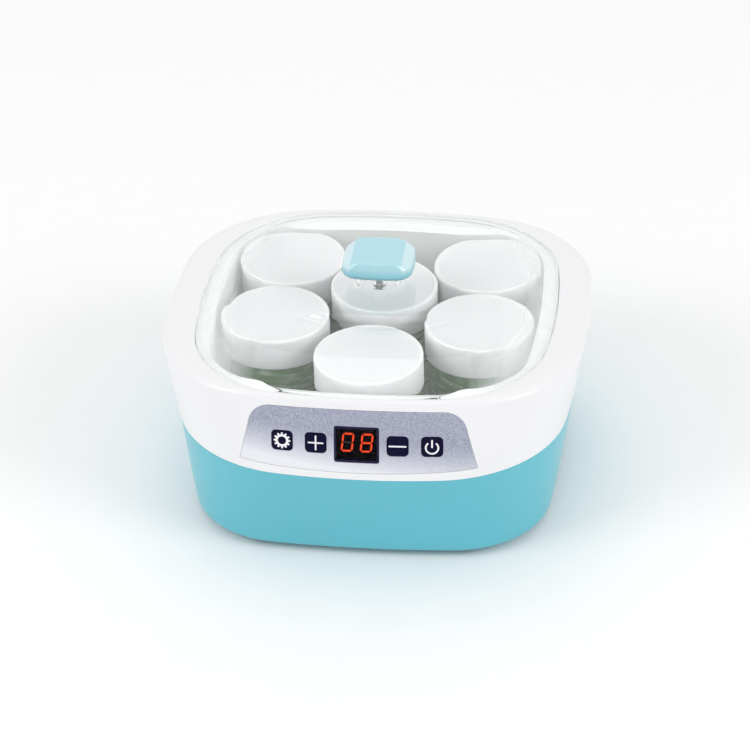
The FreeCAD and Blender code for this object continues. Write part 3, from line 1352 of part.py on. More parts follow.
def jars_and_caps():
    """Six glass jars, each with a screw cap over its neck."""
    bead_top = S.jar_height - S.thread_below_rim
    bead_low = bead_top - S.thread_height
    bead = S.neck_radius + S.thread_proud
    inner_neck = S.neck_radius - S.jar_wall
    inner_body = S.jar_radius - S.jar_wall
    jar_profile = (
        (ZERO, ZERO),
        (S.jar_radius - S.jar_heel, ZERO),
        (S.jar_radius, S.jar_heel),
        (S.jar_radius, S.jar_body_height),
        (S.neck_radius, S.jar_shoulder_height),
        (S.neck_radius, bead_low - S.thread_proud),
        (bead, bead_low),
        (bead, bead_top),
        (S.neck_radius, bead_top + S.thread_proud),
        (S.neck_radius, S.jar_height),
        (inner_neck, S.jar_height),
        (inner_neck, S.jar_shoulder_height),
        (inner_body, S.jar_body_height),
        (inner_body, S.jar_base + S.jar_heel),
        (inner_body - S.jar_heel, S.jar_base),
        (ZERO, S.jar_base),
    )
    ceiling = S.jar_height + S.seat_gap
    cap_top = ceiling + S.cap_top
    skirt = cap_top - S.cap_height
    cap_inner = S.cap_radius - S.cap_wall
    cap_profile = (
        (ZERO, ceiling),
        (cap_inner, ceiling),
        (cap_inner, skirt),
        (S.cap_radius, skirt),
        (S.cap_radius, cap_top - S.cap_bevel),
        (S.cap_radius - S.cap_bevel, cap_top),
        (ZERO, cap_top),
    )
    for spot, x, y in JARS:
        keep(f"jar_{spot}", turned_body(f"jar_{spot}", jar_profile, x, y, jar_bottom))
        keep(f"jar_cap_{spot}", turned_body(f"jar_cap_{spot}", cap_profile, x, y, jar_bottom))


def export_nodes():
    """Check every object and write one file for each piece."""
    doc.recompute()
    failed = [obj.Name for obj in doc.Objects if {"Invalid", "Error"} & set(obj.State)]
    if failed:
        raise RuntimeError(f"failed objects: {failed}")
    for node, obj in NODES.items():
        if obj.Shape.isNull() or not obj.Shape.isValid() or not obj.Shape.Solids:
            raise RuntimeError(f"bad shape: {node}")
    os.makedirs("parts", exist_ok=True)
    for node, obj in NODES.items():
        obj.Shape.exportStep(f"parts/{node}.step")
        print(node, len(obj.Shape.Solids), round(obj.Shape.Volume, 1))


base_housing()
feet()
shell_screws()
upper_shell()
panel_pieces()
control_board()
inner_well()
heater()
power_board()
mains_inlet()
leads()
ribbon_cable()
lid()
lid_knob()
jars_and_caps()
export_nodes()
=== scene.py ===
"""Yogurt maker with glass jars under a clear lid, dressed for a plain studio.

Each sub-assembly is a class whose fields are its sizes in millimetres, in the frame of the solids:
+Z up, the front panel faces -Y, and the feet stand on Z = 0. Surfaces are numpy arrays of rings.
"""

from __future__ import annotations

import functools
import logging
import math
from dataclasses import dataclass, field
from enum import Enum
from typing import Any, Iterable, Mapping, Sequence, Union

import bpy
import numpy as np
from mathutils import Matrix, Vector


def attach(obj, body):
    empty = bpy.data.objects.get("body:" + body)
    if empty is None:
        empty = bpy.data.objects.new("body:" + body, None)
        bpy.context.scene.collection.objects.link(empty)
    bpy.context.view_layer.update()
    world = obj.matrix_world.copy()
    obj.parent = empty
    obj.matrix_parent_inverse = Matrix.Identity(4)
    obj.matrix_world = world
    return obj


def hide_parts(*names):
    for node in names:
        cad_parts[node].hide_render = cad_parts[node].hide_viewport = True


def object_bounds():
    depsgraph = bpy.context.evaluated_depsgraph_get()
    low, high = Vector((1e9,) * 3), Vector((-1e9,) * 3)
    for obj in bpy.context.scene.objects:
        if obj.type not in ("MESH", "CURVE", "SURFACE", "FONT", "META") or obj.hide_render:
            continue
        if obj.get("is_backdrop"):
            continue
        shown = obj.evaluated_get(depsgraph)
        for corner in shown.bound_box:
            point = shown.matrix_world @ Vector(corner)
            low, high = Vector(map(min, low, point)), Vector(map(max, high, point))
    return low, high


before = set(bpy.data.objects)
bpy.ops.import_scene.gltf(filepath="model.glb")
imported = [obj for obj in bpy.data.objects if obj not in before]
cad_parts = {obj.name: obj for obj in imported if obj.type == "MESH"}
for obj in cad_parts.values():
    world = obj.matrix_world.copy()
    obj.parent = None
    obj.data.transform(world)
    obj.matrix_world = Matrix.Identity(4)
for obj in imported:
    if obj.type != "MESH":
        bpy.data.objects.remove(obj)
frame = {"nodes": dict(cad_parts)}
SOLID_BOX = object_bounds()

logging.basicConfig(level=logging.INFO, format="%(message)s")
log = logging.getLogger("yogurt_maker")

Array = np.ndarray
Colour = tuple[float, float, float]
MM = 0.001
SIDE_STEPS = 30
CORNER_STEPS = 22
SHARP_ANGLE = math.radians(38)
# Painted shade: Y about which the clear tint turns from darker at the front to lighter at the rear.
PAINTED_SHADE_Y = -0.018
# Painted sheen on the lid: where it starts sideways, and the height below which it grows.
PAINTED_SHEEN_X = 0.062
PAINTED_SHEEN_Z = 0.1194
LIGHT_GREY = 0.74


# Shader arithmetic


class Signal:
    """A shader socket that takes part in Python arithmetic."""

    def __init__(self, shader: "Shader", socket: bpy.types.NodeSocket) -> None:
        """Keep the socket and the tree that it belongs to."""
        self.shader = shader
        self.socket = socket

    def _math(self, operation: str, first: "Number", second: "Number") -> "Signal":
        """One Math node of two values."""
        return self.shader.node("ShaderNodeMath", {"operation": operation}, {0: first, 1: second})[0]

    def __add__(self, other: "Number") -> "Signal":
        """Sum."""
        return self._math("ADD", self, other)

    def __radd__(self, other: "Number") -> "Signal":
        """Reflected sum."""
        return self._math("ADD", other, self)

    def __sub__(self, other: "Number") -> "Signal":
        """Difference."""
        return self._math("SUBTRACT", self, other)

    def __rsub__(self, other: "Number") -> "Signal":
        """Reflected difference."""
        return self._math("SUBTRACT", other, self)

    def __mul__(self, other: "Number") -> "Signal":
        """Product."""
        return self._math("MULTIPLY", self, other)

    def __rmul__(self, other: "Number") -> "Signal":
        """Reflected product."""
        return self._math("MULTIPLY", other, self)

    def __truediv__(self, other: "Number") -> "Signal":
        """Quotient."""
        return self._math("DIVIDE", self, other)

    def __gt__(self, other: "Number") -> "Signal":
        """One where this value is the larger, zero elsewhere."""
        return self._math("GREATER_THAN", self, other)

    def limited(self) -> "Signal":
        """The value held between zero and one."""
        return self.shader.node("ShaderNodeClamp", {}, {"Value": self})[0]


Number = Union[float, int, Signal]


class Made:
    """The outputs of a node that was just made."""

    def __init__(self, shader: "Shader", node: bpy.types.Node) -> None:
        """Keep the node and its tree."""
        self.shader = shader
        self.node = node

    def __getitem__(self, key: Union[int, str]) -> Signal:
        """An output by its number or name."""
        return Signal(self.shader, self.node.outputs[key])


class Shader:
    """A material's node tree, written as expressions."""

    def __init__(self, name: str) -> None:
        """Start an empty material."""
        self.material = bpy.data.materials.new(name)
        self.material.use_nodes = True
        self.tree = self.material.node_tree
        self.tree.nodes.clear()

    def node(self, kind: str, settings: Mapping[str, Any], inputs: Mapping[Union[int, str], Any]) -> Made:
        """Make one node.

        Args:
            kind: The node's type.
            settings: Attributes that are set first; "stops" are a ramp's places and colours.
            inputs: Values or signals of its sockets.

        Returns:
            The node's outputs.
        """
        made = self.tree.nodes.new(kind)
        for key, value in settings.items():
            if key == "stops":
                self._set_stops(made.color_ramp, value)
            else:
                setattr(made, key, value)
        for key, value in inputs.items():
            if isinstance(value, Signal):
                self.tree.links.new(value.socket, made.inputs[key])
            else:
                made.inputs[key].default_value = value
        return Made(self, made)

    @staticmethod
    def _set_stops(ramp: bpy.types.ColorRamp, stops: Sequence[tuple[float, Colour]]) -> None:
        """Give a ramp its places and colours."""
        while len(ramp.elements) < len(stops):
            ramp.elements.new(1.0)
        for element, (place, colour) in zip(ramp.elements, stops):
            element.position = place
            element.color = (*colour, 1.0)

    def place(self) -> Signal:
        """The surface point in the object's own coordinates, in metres."""
        return self.node("ShaderNodeTexCoord", {}, {})["Object"]

    def axis(self, name: str) -> Signal:
        """One coordinate of the surface point, X, Y or Z."""
        return self.node("ShaderNodeSeparateXYZ", {}, {0: self.place()})[name]

    def magnitude(self, value: Signal) -> Signal:
        """A value without its sign."""
        return self.node("ShaderNodeMath", {"operation": "ABSOLUTE"}, {0: value})[0]

    def noise(self, scale: float, detail: float = 2.0, stretch: Colour = (1.0, 1.0, 1.0)) -> Signal:
        """Soft noise from zero to one, with so many lumps in a metre."""
        where = self.node("ShaderNodeMapping", {}, {"Vector": self.place(), "Scale": stretch})[0]
        return self.node("ShaderNodeTexNoise", {}, {"Vector": where, "Scale": scale, "Detail": detail})[0]

    def cells(self, scale: float) -> Signal:
        """A random grey for each small cell."""
        made = self.node("ShaderNodeTexVoronoi", {}, {"Vector": self.place(), "Scale": scale})
        return self.node("ShaderNodeSeparateColor", {}, {0: made["Color"]})[0]

    def blend(self, share: Number, first: Any, second: Any) -> Signal:
        """A colour between two colours."""
        settings = {"data_type": "RGBA"}
        colours = {6: self._opaque(first), 7: self._opaque(second)}
        return self.node("ShaderNodeMix", settings, {0: share, **colours})[2]

    @staticmethod
    def _opaque(colour: Any) -> Any:
        """A plain colour with full alpha, or a signal as it is."""
        return colour if isinstance(colour, Signal) else (*colour, 1.0)

    def bump(self, height: Signal, strength: float, distance: float) -> Signal:
        """A normal that follows a height."""
        inputs = {"Strength": strength, "Distance": distance, "Height": height}
        return self.node("ShaderNodeBump", {}, inputs)[0]

    def principled(self, inputs: Mapping[str, Any]) -> Signal:
        """The main shader."""
        return self.node("ShaderNodeBsdfPrincipled", {}, inputs)["BSDF"]

    def mixed(self, share: Signal, first: Signal, second: Signal) -> Signal:
        """A surface between two surfaces."""
        return self.node("ShaderNodeMixShader", {}, {0: share, 1: first, 2: second})[0]

    def close(self, surface: Signal) -> bpy.types.Material:
        """Connect the surface and hand the material over."""
        self.node("ShaderNodeOutputMaterial", {}, {"Surface": surface})
        return self.material

    def plain(self, inputs: Mapping[str, Any]) -> bpy.types.Material:
        """A material of one main shader."""
        return self.close(self.principled(inputs))


def shade(colour: Colour, factor: float) -> Colour:
    """A colour made lighter or darker."""
    return tuple(min(1.0, part * factor) for part in colour)


# Finishes


@dataclass(frozen=True)
class MouldedPlastic:
    """Injection-moulded plastic with a fine grain and a faint unevenness of tone."""

    name: str
    colour: Colour
    roughness: float = 0.3
    grain: float = 0.12
    grain_scale: float = 1600.0
    mottle: float = 0.02
    coat: float = 0.0
    sheen: float = 0.5

    def material(self) -> bpy.types.Material:
        """Tone from broad noise, roughness and bump from fine noise."""
        shader = Shader(self.name)
        broad = shader.noise(22.0, 3.0)
        fine = shader.noise(self.grain_scale, 2.0)
        tone = shader.blend(broad, shade(self.colour, 1 - self.mottle), shade(self.colour, 1 + self.mottle))
        gloss = self.roughness + 0.10 * (fine - 0.5) + 0.06 * (broad - 0.5)
        return shader.plain({
            "Base Color": tone,
            "Roughness": gloss.limited(),
            "Normal": shader.bump(fine, self.grain, 0.00004),
            "Coat Weight": self.coat,
            "Coat Roughness": 0.06,
            "IOR": 1.49,
            "Specular IOR Level": self.sheen,
        })


@dataclass(frozen=True)
class FacetedPlastic:
    """Gloss plastic of the knob, with painted light on the side facets and painted shade on the low flanks.
    """

    name: str
    colour: Colour
    # Painted light for the side facets and painted shade for the low flanks.
    painted_light: Colour
    painted_shade: Colour
    facet_x: float
    flank_z: float

    def material(self) -> bpy.types.Material:
        """Tone from the distance off the middle and from height, which paints light on the side facets and
        shade on the low flanks, with a fine grain in the gloss.
        """
        shader = Shader(self.name)
        fine = shader.noise(1500.0)
        # Painted light: the side facets take the paler tone.
        facet = (1400.0 * (shader.magnitude(shader.axis("X")) - self.facet_x)).limited()
        # Painted shade: the low flanks take the darker tone.
        low = (260.0 * (self.flank_z - shader.axis("Z"))).limited()
        tone = shader.blend(low, shader.blend(facet, self.colour, self.painted_light), self.painted_shade)
        return shader.plain({
            "Base Color": tone,
            "Roughness": (0.18 + 0.08 * fine).limited(),
            "Normal": shader.bump(fine, 0.05, 0.00004),
            "Coat Weight": 0.4,
            "Coat Roughness": 0.05,
        })


@dataclass(frozen=True)
class CapPlastic:
    """Satin plastic of a screw cap, whose skirt is painted paler than its greyer top: painted light against
    the shade that falls between the caps.
    """

    name: str
    # The greyer top and the paler skirt; the skirt's extra lightness is painted light.
    top: Colour
    skirt: Colour
    edge_z: float

    def material(self) -> bpy.types.Material:
        """Tone from height and broad noise, gloss and bump from a fine grain; the paler skirt below the top's
        edge is painted light.
        """
        shader = Shader(self.name)
        broad = shader.noise(22.0, 3.0)
        fine = shader.noise(1300.0)
        # Painted light: below the top's edge the skirt takes the paler tone, against the shade between the
        # caps.
        low = (1500.0 * (self.edge_z - shader.axis("Z"))).limited()
        top = shader.blend(broad, shade(self.top, 0.988), shade(self.top, 1.012))
        return shader.plain({
            "Base Color": shader.blend(low, top, self.skirt),
            "Roughness": (0.37 + 0.10 * fine).limited(),
            "Normal": shader.bump(fine, 0.16, 0.00004),
            "Subsurface Weight": 0.6,
            "Subsurface Radius": (0.008, 0.008, 0.007),
            "Subsurface Scale": 1.0,
        })


@dataclass(frozen=True)
class ClearMoulding:
    """Clear plastic or pressed glass with faint flow waves, which lets straight light through, with painted
    shade in its tint, darker towards the front and lighter towards the rear, and on the lid a painted sheen
    on the slopes.
    """

    name: str
    tint: Colour
    # Darker tint towards the front: painted shade.
    painted_shade: Colour
    shadow: Colour
    roughness: float
    index: float
    wave: float
    wave_scale: float = 45.0
    body: float = 0.0
    coat: float = 0.0
    # Share of painted sheen, a whitish rough layer on the lid's slopes that stands in for reflected light.
    haze_and_painted_sheen: float = 0.0
    straight: float = 6.5

    def material(self) -> bpy.types.Material:
        """Streaked tint with painted shade, darker towards the front and lighter towards the rear, and plain
        transparency for shadows and long paths.
        """
        shader = Shader(self.name)
        waves = shader.noise(self.wave_scale, 2.0, (1.0, 1.0, 0.5))
        streaks = shader.noise(80.0, 3.0, (1.0, 1.0, 4.0))
        # Painted shade and light: the tint goes from the darker colour at the front to the lighter one at the
        # rear, with random streaks.
        depth = (0.64 - 14.0 * (shader.axis("Y") - PAINTED_SHADE_Y) + 3.6 * (streaks - 0.5)).limited()
        clear = shader.principled({
            "Base Color": shader.blend(depth, self.tint, self.painted_shade),
            "Roughness": (self.roughness + 0.02 * shader.noise(240.0)).limited(),
            "IOR": self.index,
            "Transmission Weight": 1.0 - self.body,
            "Coat Weight": self.coat,
            "Coat Roughness": 0.02,
            "Normal": shader.bump(waves, self.wave, 0.0004),
        })
        if self.haze_and_painted_sheen:
            clear = self.with_painted_sheen(shader, clear)
        through = shader.node("ShaderNodeBsdfTransparent", {}, {0: (*self.shadow, 1.0)})[0]
        path = shader.node("ShaderNodeLightPath", {}, {})
        plain = (path["Is Shadow Ray"] + (path["Ray Depth"] > self.straight)).limited()
        return shader.close(shader.mixed(plain, clear, through))

    def with_painted_sheen(self, shader: Shader, clear: Signal) -> Signal:
        """The clear surface with a painted sheen on the slopes: a whitish rough share that stands in for
        reflected light and grows sideways and downwards.
        """
        side = (45.0 * (shader.magnitude(shader.axis("X")) - PAINTED_SHEEN_X)).limited()
        slope = (260.0 * (PAINTED_SHEEN_Z - shader.axis("Z"))).limited()
        share = self.haze_and_painted_sheen * side * slope * (0.85 + 0.3 * shader.noise(60.0))
        painted_sheen_surface = shader.principled({"Base Color": (0.90, 0.93, 0.93, 1.0), "Roughness": 0.4})
        return shader.mixed(share.limited(), clear, painted_sheen_surface)


@dataclass(frozen=True)
class SparkleFilm:
    """Silver-lavender overlay film with a fine sparkle, and a painted sheen that makes it paler towards its
    lower left edge.
    """

    name: str
    # Colours of the painted sheen: paler at the lower left, darker above.
    low: Colour
    high: Colour
    low_z: float
    high_z: float

    def material(self) -> bpy.types.Material:
        """Painted sheen from height and side, paler at the lower left, and fine cells of random grey."""
        shader = Shader(self.name)
        # Painted sheen: the tone runs from the paler colour at the lower left to the darker one at the upper
        # right.
        height = (shader.axis("Z") - self.low_z) / (self.high_z - self.low_z)
        rise = (height + 5.0 * shader.axis("X")).limited()
        flecks = shader.cells(2300.0)
        soft = shader.noise(900.0, 3.0)
        painted_sheen_tone = shader.blend(rise, self.low, self.high)
        fleck_tone = shader.blend(flecks, (0.20, 0.21, 0.28), (0.72, 0.74, 0.84))
        amount = (0.06 + 0.34 * rise) * (0.5 + soft)
        tone = shader.blend(amount.limited(), painted_sheen_tone, fleck_tone)
        return shader.plain({
            "Base Color": tone,
            "Roughness": (0.34 + 0.14 * soft).limited(),
            "Normal": shader.bump(soft, 0.08, 0.00003),
        })


@dataclass(frozen=True)
class Ink:
    """Printed sign on a key, with the slight grain of screen print."""

    name: str
    colour: Colour

    def material(self) -> bpy.types.Material:
        """Nearly even tone, dull surface."""
        shader = Shader(self.name)
        grain = shader.noise(5200.0, 1.0)
        tone = shader.blend(grain, shade(self.colour, 0.93), self.colour)
        return shader.plain({
            "Base Color": tone,
            "Roughness": (0.42 + 0.12 * grain).limited(),
            "Normal": shader.bump(grain, 0.05, 0.00002),
        })


@dataclass(frozen=True)
class LitSegment:
    """Segment of the display: a glowing or resting bar of tinted resin."""

    name: str
    colour: Colour
    glow: float

    def material(self) -> bpy.types.Material:
        """Tone, gloss and glow from a fine grain."""
        shader = Shader(self.name)
        grain = shader.noise(2600.0, 1.0)
        tone = shader.blend(grain, shade(self.colour, 0.9), self.colour)
        return shader.plain({
            "Base Color": tone,
            "Roughness": (0.4 + 0.1 * grain).limited(),
            "Emission Color": tone,
            "Emission Strength": self.glow,
        })


@dataclass(frozen=True)
class SmokedLens:
    """Dark see-through lens over the display, with a printed frame round its edge."""

    name: str
    tint: Colour
    frame: Colour
    frame_x: float
    frame_z: float
    middle_z: float

    def material(self) -> bpy.types.Material:
        """Tinted refraction inside, and opaque ink where x or z lies beyond the frame's inner edge."""
        shader = Shader(self.name)
        # Random haze in the lens's gloss and frame tone.
        haze_and_painted_sheen = shader.noise(700.0)
        window = shader.principled({
            "Base Color": (*self.tint, 1.0),
            "Roughness": (0.015 + 0.02 * haze_and_painted_sheen).limited(),
            "IOR": 1.15,
            "Transmission Weight": 1.0,
        })
        side = shader.magnitude(shader.axis("X")) - self.frame_x
        rise = shader.magnitude(shader.axis("Z") - self.middle_z) - self.frame_z
        tone = shader.blend(haze_and_painted_sheen, self.frame, shade(self.frame, 1.25))
        border = shader.principled({"Base Color": tone, "Roughness": 0.2, "Specular IOR Level": 0.15})
        edge = ((6000.0 * side).limited() + (6000.0 * rise).limited()).limited()
        return shader.close(shader.mixed(edge, window, border))


@dataclass(frozen=True)
class Rubber:
    """Matte rubber with a dusty, pebbled surface."""

    name: str
    colour: Colour

    def material(self) -> bpy.types.Material:
        """Dull tone with a pebble bump."""
        shader = Shader(self.name)
        pebble = shader.noise(1900.0, 3.0)
        dust = shader.noise(120.0, 4.0)
        tone = shader.blend(dust, shade(self.colour, 0.85), shade(self.colour, 1.18))
        return shader.plain({
            "Base Color": tone,
            "Roughness": (0.72 + 0.2 * dust).limited(),
            "Normal": shader.bump(pebble, 0.25, 0.00008),
        })


@dataclass(frozen=True)
class Metal:
    """Plated, drawn or milled metal with streaks along one axis."""

    name: str
    colour: Colour
    roughness: float
    stretch: Colour = (1.0, 1.0, 14.0)

    def material(self) -> bpy.types.Material:
        """Streaked roughness and bump."""
        shader = Shader(self.name)
        streak = shader.noise(420.0, 3.0, self.stretch)
        tone = shader.blend(streak, shade(self.colour, 0.88), shade(self.colour, 1.06))
        return shader.plain({
            "Base Color": tone,
            "Metallic": 1.0,
            "Roughness": (self.roughness + 0.16 * (streak - 0.5)).limited(),
            "Normal": shader.bump(streak, 0.06, 0.00003),
        })


@dataclass(frozen=True)
class Laminate:
    """Circuit board: solder mask over a faint glass weave, with fine tracks."""

    name: str
    colour: Colour

    def material(self) -> bpy.types.Material:
        """Weave bump from two crossed waves, tracks from cells."""
        shader = Shader(self.name)
        across = shader.node("ShaderNodeTexWave", {"bands_direction": "X"}, {
            "Vector": shader.place(), "Scale": 420.0})[1]
        along = shader.node("ShaderNodeTexWave", {"bands_direction": "Z"}, {
            "Vector": shader.place(), "Scale": 420.0})[1]
        weave = across * along
        tracks = shader.cells(260.0) > 0.72
        tone = shader.blend(0.55 * tracks, shade(self.colour, 0.9), shade(self.colour, 1.5))
        return shader.plain({
            "Base Color": tone,
            "Roughness": (0.38 + 0.12 * weave).limited(),
            "Normal": shader.bump(weave, 0.08, 0.00003),
        })


class Finish(Enum):
    """Every finish of the machine."""

    BLUE = MouldedPlastic("blue_moulding", (0.110, 0.490, 0.585), 0.30, 0.10, 1500.0, 0.02, 0.20)
    # The knob's paler side facets and darker low flanks are painted light and painted shade.
    KNOB_BLUE = FacetedPlastic(
        "knob_moulding", (0.400, 0.680, 0.760), (0.580, 0.790, 0.830), (0.270, 0.620, 0.720), 0.0150, 0.1405)
    WHITE = MouldedPlastic("white_moulding", (0.830, 0.830, 0.845), 0.30, 0.07, 1400.0, 0.01, 0.2)
    WELL = MouldedPlastic("well_moulding", (0.750, 0.770, 0.760), 0.42, 0.14, 1100.0, 0.02)
    # The caps' skirts are painted paler than their tops: painted light in the shade between the caps.
    CAP = CapPlastic("cap_moulding", (0.725, 0.730, 0.728), (0.930, 0.935, 0.930), 0.1064)
    # The lid's tint is a touch darker at the front, which is painted shade, and its slopes carry a painted
    # sheen.
    CLEAR = ClearMoulding(
        "clear_lid", (0.922, 0.934, 0.931), (0.915, 0.930, 0.925), (0.98, 0.98, 0.98),
        0.01, 1.15, 0.004, 45.0, 0.0, 0.65, 0.36, 3.5)
    # The glass is painted darker green at the front and lighter at the rear: painted shade and light.
    GLASS = ClearMoulding(
        "green_glass", (0.800, 0.890, 0.790), (0.110, 0.310, 0.075), (0.98, 0.99, 0.98),
        0.008, 1.40, 0.30, 70.0, 0.48)
    # The film's paler lower left is painted sheen.
    FILM = SparkleFilm("sparkle_film", (0.810, 0.820, 0.865), (0.262, 0.282, 0.390), 0.067, 0.089)
    KEY = MouldedPlastic("key_moulding", (0.006, 0.005, 0.028), 0.30, 0.05, 1800.0, 0.05, 0.0, 0.05)
    INK = Ink("white_print", (0.88, 0.88, 0.92))
    LENS = SmokedLens("smoked_lens", (0.36, 0.30, 0.34), (0.010, 0.009, 0.036), 0.0118, 0.0096, 0.08395)
    MODULE = MouldedPlastic("module_face", (0.006, 0.006, 0.012), 0.5, 0.10, 2000.0, 0.05, 0.0, 0.1)
    LIT = LitSegment("lit_segment", (0.90, 0.085, 0.018), 2.9)
    UNLIT = LitSegment("resting_segment", (0.16, 0.14, 0.17), 0.05)
    RUBBER = Rubber("pebbled_rubber", (0.060, 0.062, 0.066))
    BLACK = MouldedPlastic("black_moulding", (0.014, 0.014, 0.015), 0.45, 0.2, 1200.0, 0.05)
    BOARD = Laminate("green_laminate", (0.020, 0.130, 0.045))
    RELAY = MouldedPlastic("relay_moulding", (0.020, 0.070, 0.300), 0.38, 0.1, 1400.0, 0.04)
    TAPE = MouldedPlastic("transformer_tape", (0.620, 0.440, 0.040), 0.40, 0.1, 900.0, 0.05)
    SLEEVE = MouldedPlastic("shrink_sleeve", (0.020, 0.022, 0.050), 0.25, 0.05, 1500.0, 0.04)
    TERMINAL = MouldedPlastic("terminal_moulding", (0.040, 0.240, 0.090), 0.42, 0.1, 1400.0, 0.04)
    RESIN = MouldedPlastic("dark_resin", (0.030, 0.024, 0.020), 0.5, 0.2, 1500.0, 0.06)
    RIBBON = Rubber("grey_sleeve", (0.420, 0.420, 0.410))
    RED_LEAD = Rubber("red_sleeve", (0.420, 0.024, 0.016))
    BROWN_LEAD = Rubber("brown_sleeve", (0.110, 0.045, 0.022))
    STEEL = Metal("zinc_plate", (0.62, 0.63, 0.64), 0.32)
    BRASS = Metal("plated_brass", (0.72, 0.58, 0.30), 0.26, (1.0, 14.0, 1.0))
    ALUMINIUM = Metal("mill_aluminium", (0.72, 0.73, 0.74), 0.36, (12.0, 1.0, 1.0))

    @functools.cache
    def material(self) -> bpy.types.Material:
        """The finish's material, made once."""
        return self.value.material()


# Surfaces


@dataclass(frozen=True)
class Outline:
    """Rounded square whose sides bow outwards: four long arcs joined by four corner arcs."""

    half_x: float
    half_y: float
    bow: float
    corner: float

    def inset(self, by: float, by_y: Union[float, None] = None) -> "Outline":
        """The outline moved inwards, by another amount in Y if one is given."""
        by_y = by if by_y is None else by_y
        return Outline(self.half_x - by, self.half_y - by_y, self.bow - by, self.corner - by_y)

    def points(self) -> Array:
        """Points round the outline.

        A corner arc's centre lies at the distance (bow - corner) from the centres of the two side arcs
        next to it, so it is where two equal circles cross. Each arc is centre + radius * (cos, sin).

        Returns:
            An array of x and y, from the right side's front end, counter-clockwise.
        """
        right = np.array([self.half_x - self.bow, 0.0])
        back = np.array([0.0, self.half_y - self.bow])
        reach = self.bow - self.corner
        gap = back - right
        span = np.hypot(*gap)
        across = np.array([gap[1], -gap[0]]) / span
        lift = math.sqrt(reach**2 - span**2 / 4)
        middle = (right + back) / 2
        centre = max(middle + across * lift, middle - across * lift, key=lambda point: point.sum())
        low = math.atan2(centre[1], centre[0] - right[0])
        high = math.atan2(centre[1] - back[1], centre[0])
        turn = math.pi
        flip_x, flip_y = centre * (-1, 1), centre * (1, -1)
        arcs = (
            (right, self.bow, -low, low, SIDE_STEPS),
            (centre, self.corner, low, high, CORNER_STEPS),
            (back, self.bow, high, turn - high, SIDE_STEPS),
            (flip_x, self.corner, turn - high, turn - low, CORNER_STEPS),
            (-right, self.bow, turn - low, turn + low, SIDE_STEPS),
            (-centre, self.corner, turn + low, turn + high, CORNER_STEPS),
            (-back, self.bow, turn + high, 2 * turn - high, SIDE_STEPS),
            (flip_y, self.corner, 2 * turn - high, 2 * turn - low, CORNER_STEPS),
        )
        return np.concatenate([arc_points(*arc) for arc in arcs])

    def ring(self, z: float, y: float = 0.0) -> Array:
        """The outline as a level ring about (0, y)."""
        flat = self.points()
        return at_level(flat + (0.0, y), z)


def ways(angle: Array) -> Array:
    """Directions in the plane, (cos, sin) of each angle."""
    return np.column_stack([np.cos(angle), np.sin(angle)])


def at_level(flat: Array, z: float) -> Array:
    """Flat points as points of one height."""
    return np.column_stack([flat, np.full(len(flat), z)])


def arc_points(centre: Array, radius: float, start: float, end: float, steps: int) -> Array:
    """Points of an arc without its last one: centre + radius * (cos, sin)."""
    angle = start + (end - start) * np.arange(steps) / steps
    return centre + radius * ways(angle)


def circle_like(ring: Array, radius: float, z: float) -> Array:
    """A circle about the vertical axis whose points lie in the directions of a ring's points."""
    return at_level(radius * ways(np.arctan2(ring[:, 1], ring[:, 0])), z)


def round_ring(radius: float, z: float, steps: int = 112) -> Array:
    """A level circle about the vertical axis: radius * (cos, sin)."""
    return at_level(radius * ways(2 * math.pi * np.arange(steps) / steps), z)


@dataclass
class Stop:
    """One ring of a form, how softly the form turns there, and the spans up to the next ring."""

    ring: Array
    soft: Union[float, Array] = 0.0
    spans: int = 1


def swept(stops: Sequence[Stop], closed: bool, steps: int = 7) -> Array:
    """Carry a form through its rings.

    At a soft ring each point is replaced by a parabola, (1-t)^2 p + 2t(1-t) q + t^2 r, from p on the way in
    to r on the way out, with q the ring's own point. Straight spans are linear between rings.

    Args:
        stops: The rings in order.
        closed: Whether the last ring goes on to the first.
        steps: Steps of each parabola.

    Returns:
        An array of rings.
    """
    share = np.linspace(0, 1, steps + 1)[:, None, None]
    groups: list[Array] = []
    for place, stop in enumerate(stops):
        inner = closed or 0 < place < len(stops) - 1
        if not (np.any(stop.soft) and inner):
            groups.append(stop.ring[None])
            continue
        before, after = stops[place - 1].ring, stops[(place + 1) % len(stops)].ring
        start = stop.ring + _step_towards(stop.ring, before, stop.soft)
        end = stop.ring + _step_towards(stop.ring, after, stop.soft)
        groups.append((1 - share) ** 2 * start + 2 * share * (1 - share) * stop.ring + share**2 * end)
    rings: list[Array] = []
    for place, group in enumerate(groups):
        rings.append(group)
        following = groups[(place + 1) % len(groups)][0]
        if stops[place].spans > 1 and (closed or place + 1 < len(groups)):
            part = (np.arange(1, stops[place].spans) / stops[place].spans)[:, None, None]
            rings.append(group[-1] + (following - group[-1]) * part)
    return np.concatenate(rings)


def _step_towards(ring: Array, other: Array, length: Union[float, Array]) -> Array:
    """Vectors from a ring's points towards another's, of a given length but under half the way."""
    way = other - ring
    whole = np.maximum(np.linalg.norm(way, axis=1, keepdims=True), 1e-9)
    return way / whole * np.minimum(length, 0.48 * whole)


def eased(rings: Array, passes: int) -> Array:
    """Rings whose course is softened: each pass replaces r[i] by (r[i-1] + 2 r[i] + r[i+1]) / 4."""
    for _ in range(passes):
        rings[1:-1] = (rings[:-2] + 2 * rings[1:-1] + rings[2:]) / 4
    return rings


def turned(
    profile: Sequence[tuple[float, float, float]], closed: bool, steps: int, around: int = 112,
) -> Array:
    """Rings of a turned form whose profile gives a radius, a height and a softness at each turn."""
    return swept([Stop(round_ring(radius, z, around), soft) for radius, z, soft in profile], closed, steps)


